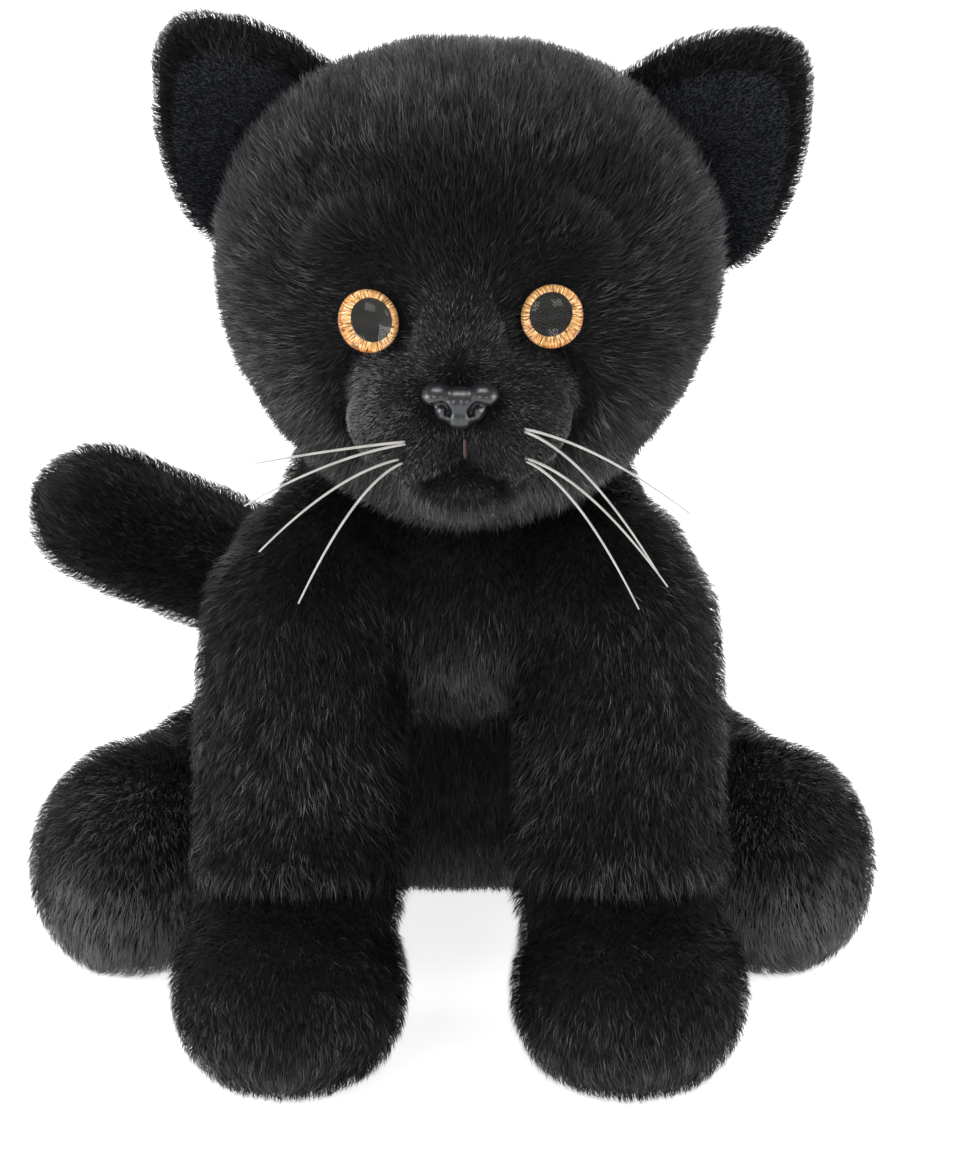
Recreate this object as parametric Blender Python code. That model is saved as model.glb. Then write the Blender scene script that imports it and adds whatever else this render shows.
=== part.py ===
"""A sitting plush cat: sewn fabric covers round their stuffing, with safety eyes, a safety nose and bristle
whiskers. The covers meet at rounded seats, so the head, ears, legs and tail turn on the seams that hold them.
Sizes are in millimetres and become metres when a mesh is made. The cat faces -Y and its own left is +X."""

import math

import bmesh
import bpy
from mathutils import Matrix, Vector
from mathutils.bvhtree import BVHTree

MM = 0.001
GAP = 0.3               # left between pieces that touch
COVER = 4.5             # plush fabric with its pile pressed down
THIN_COVER = 3.0        # the shorter plush of the muzzle
SHIFT = Vector((5.9, -78.8, 0.0))   # brings the middle of the whole toy over the origin

# Torso: height, middle in depth, half width and half depth of each level, from the seat to the neck.
TORSO_LEVELS = [
    (0.0, 154.0, 30.0, 14.0),
    (5.0, 147.0, 43.0, 25.0),
    (15.0, 136.0, 50.0, 36.0),
    (32.0, 126.0, 53.0, 44.0),
    (52.0, 117.0, 53.0, 47.0),
    (72.0, 106.0, 52.0, 45.0),
    (92.0, 94.0, 51.0, 40.0),
    (110.0, 82.0, 49.0, 35.0),
    (126.0, 73.0, 46.0, 31.0),
    (140.0, 67.0, 41.0, 27.0),
    (152.0, 63.0, 34.0, 22.0),
]
PELLET_BAG = ((0.0, 143.0, 25.0), (18.5, 19.0, 14.0))

# Neck: a stuffed ball of fabric that the torso and the head both seat on.
NECK = Vector((2.5, 63.0, 138.5))
NECK_RADIUS = 26.0
NECK_CLOTH = 3.0
NECK_OPENING = 12.0
HEAD_TURN = 22.0
HEAD_NOD = 8.0

# Head, drawn facing straight ahead and then turned a little to its own right.
HEAD_REST_TURN = math.radians(-2.3)
HEAD = Vector((3.3, 42.0, 192.0))
HEAD_HALF = (59.5, 54.5, 57.5)
HEAD_TAPER = 0.13       # narrower at the jaw than at the brow
MUZZLE_LOBE = ((11.0, -12.0, 171.0), (14.5, 17.0, 15.0))
MUZZLE_BRIDGE = ((0.0, -7.0, 187.0), (12.0, 16.5, 17.0))
CHIN = ((0.0, -8.5, 156.5), (15.5, 13.5, 9.0))

EYE_OFFSET = 21.2
EYE_HEIGHT = {"right": 194.2, "left": 195.7}
EYE_RADIUS = 7.4
EYE_PLATE = 1.8
EYE_DOME = 3.6
EYE_SHANK = 2.0
EYE_SHANK_LENGTH = 11.0
WASHER_RADIUS = 6.0
WASHER_THICK = 1.2

NOSE = Vector((0.0, -26.5, 180.0))
NOSE_HALF = (8.6, 5.6, 5.4)
NOSE_SEAT_HALF = (10.4, 7.2, 7.2)
NOSE_SHANK_LENGTH = 15.5
NOSE_WASHER_AT = 12.9

WHISKER_RADIUS = 0.38
WHISKER_CHANNEL = 1.6
WHISKERS = [
    # right tip, right exit, left exit, left tip
    ((-46.0, -33.0, 166.4), (-12.0, -30.2, 171.9), (15.0, -29.4, 174.6), (53.5, -33.0, 155.6)),
    ((-48.5, -31.0, 155.8), (-12.0, -30.0, 170.8), (15.0, -29.2, 173.5), (46.5, -36.0, 142.0)),
    ((-45.0, -34.0, 145.8), (-12.6, -29.6, 167.5), (15.4, -28.8, 167.8), (48.5, -33.0, 138.3)),
    ((-36.0, -36.0, 134.1), (-12.6, -29.4, 166.4), (15.4, -28.6, 166.7), (42.0, -35.0, 133.4)),
]
STITCH_RADIUS = 0.35

# Ears: the outline runs along the seam from its inner end, then out round the tip.
EAR_OUTLINE = [
    (1.0, -3.0), (0.0, 6.0), (0.5, 15.0), (3.5, 25.0), (7.5, 33.5), (12.0, 39.0), (17.5, 40.5),
    (24.0, 38.0), (31.0, 33.0), (38.5, 27.0), (45.5, 18.5), (50.5, 9.0), (52.0, 0.0), (50.0, -3.0),
]
EAR_SEAM = {
    "right": ((-31.8, 54.0, 240.6), (-63.2, 49.0, 198.6)),
    "left": ((34.6, 54.0, 239.4), (64.4, 48.0, 192.9)),
}
EAR_SCALE = {"right": 0.98, "left": 1.04}
EAR_BACK = 6.0
EAR_LINING = 2.2
EAR_RINGS = (1.0, 0.86, 0.6, 0.3)     # the lining starts at the second
EAR_CUP = 8.0
EAR_CLEAR = 2.2
EAR_FLEX = 10.0

# Front legs: height, middle in depth, half width and half depth of each level.
SHOULDER = Vector((38.8, 42.0, 104.5))
SHOULDER_RADIUS = 24.6
FRONT_LEG_LEVELS = [
    (20.0, 20.0, 9.0, 8.0),
    (26.0, 20.0, 20.0, 16.0),
    (34.0, 21.0, 24.5, 20.0),
    (46.0, 25.0, 26.0, 22.0),
    (66.0, 32.0, 26.0, 22.5),
    (86.0, 38.0, 25.9, 24.0),
    (104.0, 42.0, 24.6, 24.6),
]
FRONT_PAW = ((41.4, 12.0, 22.0), (28.6, 35.0, 24.5))
FRONT_SWING = (-5.0, 30.0)

# Hind legs: a haunch on a ball at the hip, running out and forward to a round foot.
HIP = Vector((48.0, 125.0, 38.0))
HIP_RADIUS = 26.5
HIND_FOOT = {"right": (-82.8, 86.0, 27.0), "left": (78.6, 86.0, 27.0)}
HIND_FOOT_HALF = (26.5, 35.0, 29.0)
HIND_FOOT_YAW = math.radians(14.0)
HIND_SWING = 9.0

# Tail: points on its middle line with the radius at each.
TAIL_ROOT = Vector((-13.0, 165.0, 56.0))
TAIL_LINE = [
    ((-13.0, 165.0, 56.0), 16.5),
    ((-36.0, 174.0, 66.0), 17.6),
    ((-60.0, 177.0, 76.5), 18.6),
    ((-83.0, 174.0, 87.5), 19.2),
    ((-98.5, 169.0, 96.0), 18.8),
]
TAIL_SWING = (-8.0, 40.0)

MATERIALS = {
    "plush": ((0.012, 0.012, 0.013), 0.85),
    "short_plush": ((0.010, 0.011, 0.018), 0.9),
    "stuffing": ((0.82, 0.82, 0.80), 0.95),
    "pellet_cloth": ((0.70, 0.70, 0.66), 0.9),
    "eye_clear": ((0.85, 0.82, 0.78), 0.05),
    "eye_amber": ((0.55, 0.30, 0.08), 0.3),
    "nose_plastic": ((0.02, 0.02, 0.022), 0.3),
    "washer_plastic": ((0.80, 0.80, 0.78), 0.4),
    "bristle": ((0.82, 0.80, 0.74), 0.35),
    "thread": ((0.20, 0.11, 0.09), 0.8),
}


def clear_scene():
    for ob in list(bpy.data.objects):
        bpy.data.objects.remove(ob)


def make_material(name):
    color, roughness = MATERIALS[name]
    mat = bpy.data.materials.new(name)
    mat.use_nodes = True
    shader = mat.node_tree.nodes["Principled BSDF"]
    shader.inputs["Base Color"].default_value = (*color, 1.0)
    shader.inputs["Roughness"].default_value = roughness
    return mat


# Meshes in millimetres, before they are placed.

def solid(name, verts, faces):
    mesh = bpy.data.meshes.new(name)
    mesh.from_pydata([Vector(v) for v in verts], [], faces)
    bm = bmesh.new()
    bm.from_mesh(mesh)
    bmesh.ops.recalc_face_normals(bm, faces=bm.faces)
    bm.to_mesh(mesh)
    bm.free()
    ob = bpy.data.objects.new(name, mesh)
    bpy.context.scene.collection.objects.link(ob)
    return ob


def rings_to_solid(name, rings, start, end):
    """Joins equal rings of points, closed by a pole at each end."""
    count = len(rings[0])
    verts = [start]
    for ring in rings:
        verts.extend(ring)
    verts.append(end)
    last = len(verts) - 1
    faces = []
    for i in range(count):
        j = (i + 1) % count
        faces.append((0, 1 + j, 1 + i))
        for k in range(len(rings) - 1):
            a = 1 + k * count
            b = a + count
            faces.append((a + i, a + j, b + j, b + i))
        a = 1 + (len(rings) - 1) * count
        faces.append((a + i, a + j, last))
    return solid(name, verts, faces)


def rounded(angle, power):
    """A point of the unit superellipse with that power, 2 for a circle."""
    c, s = math.cos(angle), math.sin(angle)
    return (math.copysign(abs(c) ** (2.0 / power), c), math.copysign(abs(s) ** (2.0 / power), s))


def egg(name, centre, half, segments, rows, power=2.0, taper=0.0, yaw=0.0, floor=None):
    """An ellipsoid with upright poles, boxier as power grows, wider above by taper, flat where it meets floor."""
    turn = Matrix.Rotation(yaw, 3, "Z")
    rings = []
    for r in range(1, rows):
        flat, up = rounded(math.pi * r / rows - math.pi / 2, power)
        ring = []
        for s in range(segments):
            x, y = rounded(2 * math.pi * s / segments, power)
            wide = 1.0 + taper * up
            p = turn @ Vector((half[0] * flat * x * wide, half[1] * flat * y, half[2] * up))
            ring.append(Vector(centre) + p)
        rings.append(ring)
    bottom = Vector(centre) - Vector((0, 0, half[2]))
    top = Vector(centre) + Vector((0, 0, half[2]))
    if floor is not None:
        bottom.z = max(bottom.z, floor)
        for ring in rings:
            for p in ring:
                p.z = max(p.z, floor)
    return rings_to_solid(name, rings, bottom, top)


def between(levels, z):
    """Middle, half width and half depth at height z, read smoothly from a list of levels."""
    k = 0
    while k < len(levels) - 2 and levels[k + 1][0] < z:
        k += 1
    before = levels[max(k - 1, 0)]
    a, b = levels[k], levels[k + 1]
    after = levels[min(k + 2, len(levels) - 1)]
    t = (z - a[0]) / (b[0] - a[0])
    values = []
    for i in (1, 2, 3):
        va, vb = a[i], b[i]
        ma = (vb - before[i]) / max(b[0] - before[0], 1e-6) * (b[0] - a[0])
        mb = (after[i] - va) / max(after[0] - a[0], 1e-6) * (b[0] - a[0])
        h = t * t * (3 - 2 * t)
        values.append(va * (1 - h) + vb * h + ma * t * (1 - t) ** 2 - mb * t * t * (1 - t))
    return values


def inset_levels(levels, inset):
    """The same levels drawn in all round, and raised off the lowest and highest."""
    found = []
    for z, middle, wide, deep in levels:
        found.append((z, middle, max(wide - inset, 2.0), max(deep - inset, 2.0)))
    low, high = levels[0][0] + inset, levels[-1][0] - inset
    kept = [v for v in found if low + 1.0 < v[0] < high - 1.0]
    first = (low, *between(found, low))
    last = (high, *between(found, high))
    return [first, *kept, last]


def column(name, levels, x, segments, rows, power=2.3):
    """An upright lofted body through its levels, with flat ends."""
    low, high = levels[0][0], levels[-1][0]
    rings = []
    for r in range(rows + 1):
        t = r / rows
        z = low + (high - low) * (0.5 - 0.5 * math.cos(math.pi * t)) * 0.35 + (high - low) * t * 0.65
        middle, wide, deep = between(levels, z)
        ring = []
        for s in range(segments):
            px, py = rounded(2 * math.pi * s / segments, power)
            ring.append(Vector((x + wide * px, middle + deep * py, z)))
        rings.append(ring)
    start = Vector((x, levels[0][1], low))
    end = Vector((x, levels[-1][1], high))
    return rings_to_solid(name, rings, start, end)


def capsule(name, line, segments, cap_rows=3, inset=0.0, floor=None):
    """A round body along a line of (point, radius), with domed ends."""
    points = [Vector(p) for p, _ in line]
    radii = [r - inset for _, r in line]
    stations = []
    first = (points[1] - points[0]).normalized()
    last = (points[-1] - points[-2]).normalized()
    for k in range(1, cap_rows):
        a = math.pi / 2 * k / cap_rows
        stations.append((points[0] - first * radii[0] * math.cos(a), radii[0] * math.sin(a), first))
    for k, p in enumerate(points):
        ahead = points[min(k + 1, len(points) - 1)] - points[max(k - 1, 0)]
        stations.append((p, radii[k], ahead.normalized()))
    for k in range(cap_rows - 1, 0, -1):
        a = math.pi / 2 * k / cap_rows
        stations.append((points[-1] + last * radii[-1] * math.cos(a), radii[-1] * math.sin(a), last))
    rings = []
    for centre, radius, way in stations:
        side = way.cross(Vector((0, 0, 1))).normalized()
        up = side.cross(way)
        ring = []
        for s in range(segments):
            a = 2 * math.pi * s / segments
            ring.append(centre + side * radius * math.cos(a) + up * radius * math.sin(a))
        rings.append(ring)
    start = points[0] - first * radii[0]
    end = points[-1] + last * radii[-1]
    if floor is not None:
        for ring in rings:
            for p in ring:
                p.z = max(p.z, floor)
    return rings_to_solid(name, rings, start, end)


def tube(name, points, radius, sides=6, tip=1.0):
    """A thin rod along a line of points, its ends tapered to a share of the radius."""
    points = [Vector(p) for p in points]
    side = (points[1] - points[0]).cross(Vector((0, 0, 1))).normalized()
    rings = []
    for k, p in enumerate(points):
        way = (points[min(k + 1, len(points) - 1)] - points[max(k - 1, 0)]).normalized()
        side = (side - way * side.dot(way)).normalized()
        up = way.cross(side)
        r = radius * (tip if k in (0, len(points) - 1) else 1.0)
        ring = []
        for s in range(sides):
            a = 2 * math.pi * s / sides
            ring.append(p + side * r * math.cos(a) + up * r * math.sin(a))
        rings.append(ring)
    return rings_to_solid(name, rings, points[0], points[-1])


def turned_about(name, profile, segments):
    """A solid of revolution about Z from (radius, height) points, the first and last on the axis."""
    rings = []
    for radius, height in profile[1:-1]:
        ring = []
        for s in range(segments):
            a = 2 * math.pi * s / segments
            ring.append(Vector((radius * math.cos(a), radius * math.sin(a), height)))
        rings.append(ring)
    start = Vector((0, 0, profile[0][1]))
    end = Vector((0, 0, profile[-1][1]))
    return rings_to_solid(name, rings, start, end)


def drum(name, radius, low, high, segments=16):
    return turned_about(name, [(0, low), (radius, low), (radius, high), (0, high)], segments)


def washer(name, radius, hole, low, high, segments=16):
    ring = drum(name, radius, low, high, segments)
    return cut(ring, drum("hole", hole, low - 1, high + 1, 10))


def copy_of(ob, name="copy"):
    twin = bpy.data.objects.new(name, ob.data.copy())
    bpy.context.scene.collection.objects.link(twin)
    return twin


def grown(ob, by):
    """Moves the surface out by that much, or in when it is negative."""
    shifts = [v.normal * by for v in ob.data.vertices]
    for v, shift in zip(ob.data.vertices, shifts):
        v.co += shift
    ob.data.update()
    return ob


def combine(ob, other, operation):
    mod = ob.modifiers.new("combine", "BOOLEAN")
    mod.operation = operation
    mod.solver = "EXACT"
    mod.object = other
    bpy.context.view_layer.update()
    graph = bpy.context.evaluated_depsgraph_get()
    result = bpy.data.meshes.new_from_object(ob.evaluated_get(graph))
    ob.modifiers.clear()
    ob.data = result
    bpy.data.objects.remove(other)
    return ob


def cut(ob, *cutters):
    for cutter in cutters:
        combine(ob, cutter, "DIFFERENCE")
    return ob


def join(ob, *others):
    for other in others:
        combine(ob, other, "UNION")
    return ob


def tidy(ob, merge=0.01):
    """Takes out slivers that a cut left behind."""
    bm = bmesh.new()
    bm.from_mesh(ob.data)
    bmesh.ops.remove_doubles(bm, verts=bm.verts, dist=merge)
    bmesh.ops.dissolve_degenerate(bm, edges=bm.edges, dist=merge)
    bmesh.ops.triangulate(bm, faces=bm.faces)
    bm.to_mesh(ob.data)
    bm.free()
    return ob


def turn_about(point, axis, degrees):
    back = Matrix.Translation(point)
    return back @ Matrix.Rotation(math.radians(degrees), 4, Vector(axis)) @ back.inverted()


def swept(ob, moves, room):
    """The convex space that a piece takes up over its moves, with that much room round it."""
    bm = bmesh.new()
    for move in moves:
        for v in ob.data.vertices:
            bm.verts.new(move @ v.co)
    found = bmesh.ops.convex_hull(bm, input=bm.verts)
    loose = [e for e in found["geom_interior"] if isinstance(e, bmesh.types.BMVert)]
    bmesh.ops.delete(bm, geom=loose, context="VERTS")
    bmesh.ops.dissolve_limit(bm, angle_limit=0.2, verts=bm.verts, edges=bm.edges)
    bmesh.ops.triangulate(bm, faces=bm.faces)
    bmesh.ops.recalc_face_normals(bm, faces=bm.faces)
    mesh = bpy.data.meshes.new("swept")
    bm.to_mesh(mesh)
    bm.free()
    bpy.data.objects.remove(ob)
    hull = bpy.data.objects.new("swept", mesh)
    bpy.context.scene.collection.objects.link(hull)
    return grown(hull, room)


def mirrored(point, side):
    """A point given for the cat's own left, on that side."""
    x = point[0] if side == "left" else -point[0]
    return Vector((x, point[1], point[2]))


def aimed(ob, point, way):
    """Stands a piece made along Z at a point, with its Z along way."""
    turn = Vector((0, 0, 1)).rotation_difference(Vector(way)).to_matrix().to_4x4()
    ob.data.transform(Matrix.Translation(Vector(point)) @ turn)
    return ob


# Bodies and how pieces are put on them.

class Body:
    """What moves as one: an empty at the joint, its pivot in millimetres, and any turn that its pieces take."""

    def __init__(self, name, pivot, parent=None, turn=None):
        self.pivot = Vector(pivot)
        self.turn = turn
        self.empty = bpy.data.objects.new(name, None)
        bpy.context.scene.collection.objects.link(self.empty)
        if parent is None:
            self.empty.location = SHIFT * MM
        else:
            self.empty.parent = parent.empty
            self.empty.location = (self.pivot - parent.pivot) * MM

    def add(self, ob, name, material):
        tidy(ob)
        if self.turn is not None:
            ob.data.transform(self.turn)
        ob.data.transform(Matrix.Translation(-self.pivot))
        ob.data.transform(Matrix.Scale(MM, 4))
        ob.name = name
        ob.data.name = name
        ob.data.materials.clear()
        ob.data.materials.append(material)
        for face in ob.data.polygons:
            face.use_smooth = True
        ob.parent = self.empty
        return ob


def head_shape(fine=True, inset=0.0):
    segments, rows = (22, 12) if fine else (14, 8)
    return egg("head", HEAD, [h - inset for h in HEAD_HALF], segments, rows, taper=HEAD_TAPER)


def front_leg_shape(side, fine=True, inset=0.0):
    segments, rows = (14, 7) if fine else (10, 5)
    centre = mirrored(SHOULDER, side)
    leg = column("leg", inset_levels(FRONT_LEG_LEVELS, min(inset, COVER)), centre.x, segments, rows)
    if inset > COVER:
        grown(leg, COVER - inset)
    ball = egg("ball", centre, (SHOULDER_RADIUS - inset,) * 3, segments, rows + 2)
    return join(leg, ball)


def front_paw_shape(side, fine=True, inset=0.0):
    segments, rows = (16, 9) if fine else (10, 6)
    centre, half = FRONT_PAW
    half = [h - inset for h in half]
    return egg("paw", mirrored(centre, side), half, segments, rows, power=2.25, floor=inset)


def hind_leg_line(side):
    hip = mirrored(HIP, side)
    foot = Vector(HIND_FOOT[side])
    way = foot - hip
    return [(hip, HIP_RADIUS), (hip + way * 0.4, HIP_RADIUS), (hip + way * 0.7, 23.0), (hip + way * 0.85, 17.0)]


def hind_leg_shape(side, fine=True, inset=0.0):
    segments, rows = (14, 3) if fine else (10, 3)
    return capsule("haunch", hind_leg_line(side), segments, rows, inset, floor=2.0 + inset)


def hind_foot_shape(side, fine=True, inset=0.0):
    segments, rows = (16, 9) if fine else (10, 6)
    yaw = HIND_FOOT_YAW if side == "left" else -HIND_FOOT_YAW
    half = [h - inset for h in HIND_FOOT_HALF]
    return egg("foot", HIND_FOOT[side], half, segments, rows, power=2.15, yaw=yaw, floor=inset)


def tail_shape(fine=True, inset=0.0):
    segments, rows = (14, 3) if fine else (10, 3)
    return capsule("tail", TAIL_LINE, segments, rows, inset)


def muzzle_shape(inset, segments=14, rows=8):
    centre, half = MUZZLE_LOBE
    parts = []
    for sign in (-1, 1):
        middle = Vector((HEAD.x + sign * centre[0], centre[1], centre[2]))
        parts.append(egg("lobe", middle, [h - inset for h in half], segments, rows))
    centre, half = MUZZLE_BRIDGE
    middle = Vector((HEAD.x, centre[1], centre[2]))
    parts.append(egg("bridge", middle, [h - inset for h in half], segments, rows))
    return join(*parts)


def chin_shape():
    centre, half = CHIN
    return egg("chin", Vector((HEAD.x, centre[1], centre[2])), half, 14, 7)


def nose_shape(room=0.0):
    """Two rounded nostril wings over a narrower lower lip."""
    parts = []
    for sign in (-1, 1):
        wing = Vector((HEAD.x + sign * 3.6, NOSE.y, NOSE.z + 1.2))
        half = (NOSE_HALF[0] - 3.6 + room, NOSE_HALF[1] + room, NOSE_HALF[2] - 1.2 + room)
        parts.append(egg("wing", wing, half, 12, 7))
    tip = Vector((HEAD.x, NOSE.y + 0.3, NOSE.z - 1.9))
    parts.append(egg("tip", tip, (4.2 + room, 5.4 + room, 3.9 + room), 10, 6))
    middle = Vector((HEAD.x, NOSE.y - 0.2, NOSE.z + 1.2))
    parts.append(egg("middle", middle, (3.4 + room, 5.6 + room, 3.9 + room), 10, 6))
    return join(*parts)


def whisker_line(tips):
    """A line in from one tip, through the muzzle and out to the other, each side drooping in a bow."""
    tip_a, exit_a, exit_b, tip_b = [Vector(p) for p in tips]
    points = []
    for tip, out, sign in ((tip_a, exit_a, -1), (tip_b, exit_b, 1)):
        start = Vector((HEAD.x + out.x, out.y, out.z))
        end = Vector((HEAD.x + tip.x, tip.y, tip.z))
        bend = start + Vector((sign * 0.45 * abs(end.x - start.x), -5.0, 0.12 * (end.z - start.z)))
        side = []
        for k in range(6):
            t = k / 5
            side.append(start * (1 - t) ** 2 + bend * 2 * t * (1 - t) + end * t * t)
        inside = start + Vector((-sign * 3.0, 3.4, 0))
        points.append([inside, *side])
    return [*reversed(points[0]), *points[1]]


def channel_line(first, second):
    """The shared way of two whiskers through the muzzle, reaching just past the fabric on each side."""
    a, b = whisker_line(first)[4:-4], whisker_line(second)[4:-4]
    return [(p + q) / 2 for p, q in zip(a, b)]


def ear_frame(side):
    a, b = [Vector(p) for p in EAR_SEAM[side]]
    a.x += HEAD.x
    b.x += HEAD.x
    along = (b - a).normalized()
    out = Vector((-along.z, 0, along.x)) if side == "left" else Vector((along.z, 0, -along.x))
    out = (out - along * out.dot(along)).normalized()
    front = out.cross(along) if side == "right" else along.cross(out)
    return a, along, out, front.normalized()


def ear_plate(side, shares, back, thick):
    """A cupped plate with the ear's outline at the first share of its size, and rings of points at the rest."""
    a, along, out, front = ear_frame(side)
    size = EAR_SCALE[side]
    mid = Vector((25.5, 13.0))
    rings = [[mid + (Vector(p) - mid) * share for p in EAR_OUTLINE] for share in shares]
    verts, faces = [], []
    for level in (0, 1):
        for ring in [*rings, [mid]]:
            for s, t in ring:
                bowl = EAR_CUP * (1 - ((s - 25.5) / 30.0) ** 2) * (1 - 0.55 * (t / 42.0) ** 2)
                depth = back + level * thick - bowl
                verts.append(a + along * s * size + out * t * size + front * depth)
    count = len(EAR_OUTLINE)
    sheet = count * len(shares) + 1
    for i in range(count):
        j = (i + 1) % count
        for level in (0, 1):
            start = level * sheet
            for k in range(len(shares) - 1):
                b = start + k * count
                faces.append((b + i, b + j, b + count + j, b + count + i))
            b = start + (len(shares) - 1) * count
            faces.append((b + i, b + j, start + sheet - 1))
        faces.append((i, j, sheet + j, sheet + i))
    return solid("ear", verts, faces)


def surface_at(ob, origin, way):
    tree = BVHTree.FromPolygons([v.co for v in ob.data.vertices], [tuple(f.vertices) for f in ob.data.polygons])
    hit = tree.ray_cast(Vector(origin), Vector(way))
    return hit[0]


def eye_place(side):
    """Where an eye's axis meets the head, and the way it looks."""
    sign = 1 if side == "left" else -1
    x, z = HEAD.x + sign * EYE_OFFSET, EYE_HEIGHT[side]
    a, b, c = HEAD_HALF
    up = (z - HEAD.z) / c
    across = sign * EYE_OFFSET / (a * (1 + HEAD_TAPER * up))
    y = HEAD.y - b * math.sqrt(1 - across ** 2 - up ** 2)
    way = Vector((across / a, (y - HEAD.y) / b ** 2, up / c)).normalized()
    return Vector((x, y, z)), way


def build_torso(body, looks):
    """The body cover with its seats for the neck, legs and tail, and what is stuffed into it."""
    outer = column("torso", TORSO_LEVELS, 0.0, 22, 11)
    inner = column("torso", inset_levels(TORSO_LEVELS, COVER), 0.0, 14, 8)
    filling = grown(copy_of(inner), -2 * GAP)
    for room, ob, fine in ((0.6, outer, True), (2.0, filling, False)):
        head_moves = []
        for nod in (-HEAD_NOD, 0, HEAD_NOD):
            for turn in (-HEAD_TURN, 0, HEAD_TURN):
                rest_turn = turn_about(NECK, (0, 0, 1), math.degrees(HEAD_REST_TURN))
                move = turn_about(NECK, (0, 0, 1), turn) @ turn_about(NECK, (1, 0, 0), nod) @ rest_turn
                head_moves.append(move)
        cutters = [swept(head_shape(fine), head_moves, room + 1.0)]
        cutters.append(egg("seat", NECK, (NECK_RADIUS + room + 0.6,) * 3, 14, 9))
        for side in ("left", "right"):
            shoulder = mirrored(SHOULDER, side)
            swings = (FRONT_SWING[0] - 1, 0, 15, FRONT_SWING[1])
            moves = [turn_about(shoulder, (-1, 0, 0), a) for a in swings]
            cutters.append(swept(front_leg_shape(side, fine), moves, room + 0.7))
            hip = mirrored(HIP, side)
            moves = [turn_about(hip, (0, 0, 1), a) for a in (-HIND_SWING, 0, HIND_SWING)]
            cutters.append(swept(hind_leg_shape(side, fine), moves, room + 0.3))
        moves = [turn_about(TAIL_ROOT, (0, 0, -1), a) for a in (TAIL_SWING[0], 0, 20, TAIL_SWING[1])]
        root = capsule("root", TAIL_LINE[:3], 12, 3)
        cutters.append(swept(root, moves, room + 0.4))
        cut(ob, *cutters)
    cut(outer, inner)
    centre, half = PELLET_BAG
    bag = egg("bag", centre, half, 12, 7)
    room = egg("room", centre, [h + GAP * 2 for h in half], 12, 7)
    down = Matrix.Translation((0, 0, -30.0))
    cut(filling, swept(room, [Matrix.Identity(4), down], 0.0))
    body.add(outer, "body_cover", looks["plush"])
    body.add(filling, "body_filling", looks["stuffing"])
    body.add(bag, "pellet_bag", looks["pellet_cloth"])


def build_neck(body, looks):
    ball = egg("neck", NECK, (NECK_RADIUS,) * 3, 14, 9)
    hollow = egg("hollow", NECK, (NECK_RADIUS - NECK_CLOTH,) * 3, 14, 9)
    hole = drum("hole", NECK_OPENING, -50, 50, 14)
    hole.data.transform(Matrix.Translation(NECK))
    filling = egg("fill", NECK, (NECK_RADIUS - NECK_CLOTH - GAP,) * 3, 14, 9)
    body.add(cut(ball, hollow, hole), "neck_cover", looks["plush"])
    body.add(filling, "neck_filling", looks["stuffing"])


def build_eyes(body, looks, cover, filling):
    """Safety eyes: a clear dome on a printed plate, whose shank goes through the cover to a washer."""
    for side in ("left", "right"):
        point, way = eye_place(side)
        r = EYE_RADIUS
        plate = join(drum("plate", r, -0.9, EYE_PLATE - 0.9), drum("shank", EYE_SHANK, -EYE_SHANK_LENGTH, 0, 12))
        low = EYE_PLATE - 0.9 + GAP
        profile = [(0, low), (r, low), (r, low + 0.4), (r * 0.9, low + 1.5), (r * 0.66, low + 2.7)]
        profile += [(r * 0.34, low + 3.4), (0, low + EYE_DOME)]
        dome = turned_about("dome", profile, 16)
        backing = COVER + 2.4
        disc = washer("disc", WASHER_RADIUS, EYE_SHANK + GAP, -backing - WASHER_THICK, -backing)
        pocket = drum("pocket", r + 0.6, -0.9 - GAP, 20)
        hole = drum("hole", EYE_SHANK + GAP, -20, 2, 12)
        room = drum("room", WASHER_RADIUS + 0.5, -EYE_SHANK_LENGTH - 1.0, 2, 20)
        for ob in (plate, dome, disc, pocket, hole, room):
            aimed(ob, point, way)
        cut(cover, pocket, hole)
        cut(filling, room)
        body.add(plate, f"eye_{side}_iris", looks["eye_amber"])
        body.add(dome, f"eye_{side}_lens", looks["eye_clear"])
        body.add(disc, f"eye_{side}_washer", looks["washer_plastic"])


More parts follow.
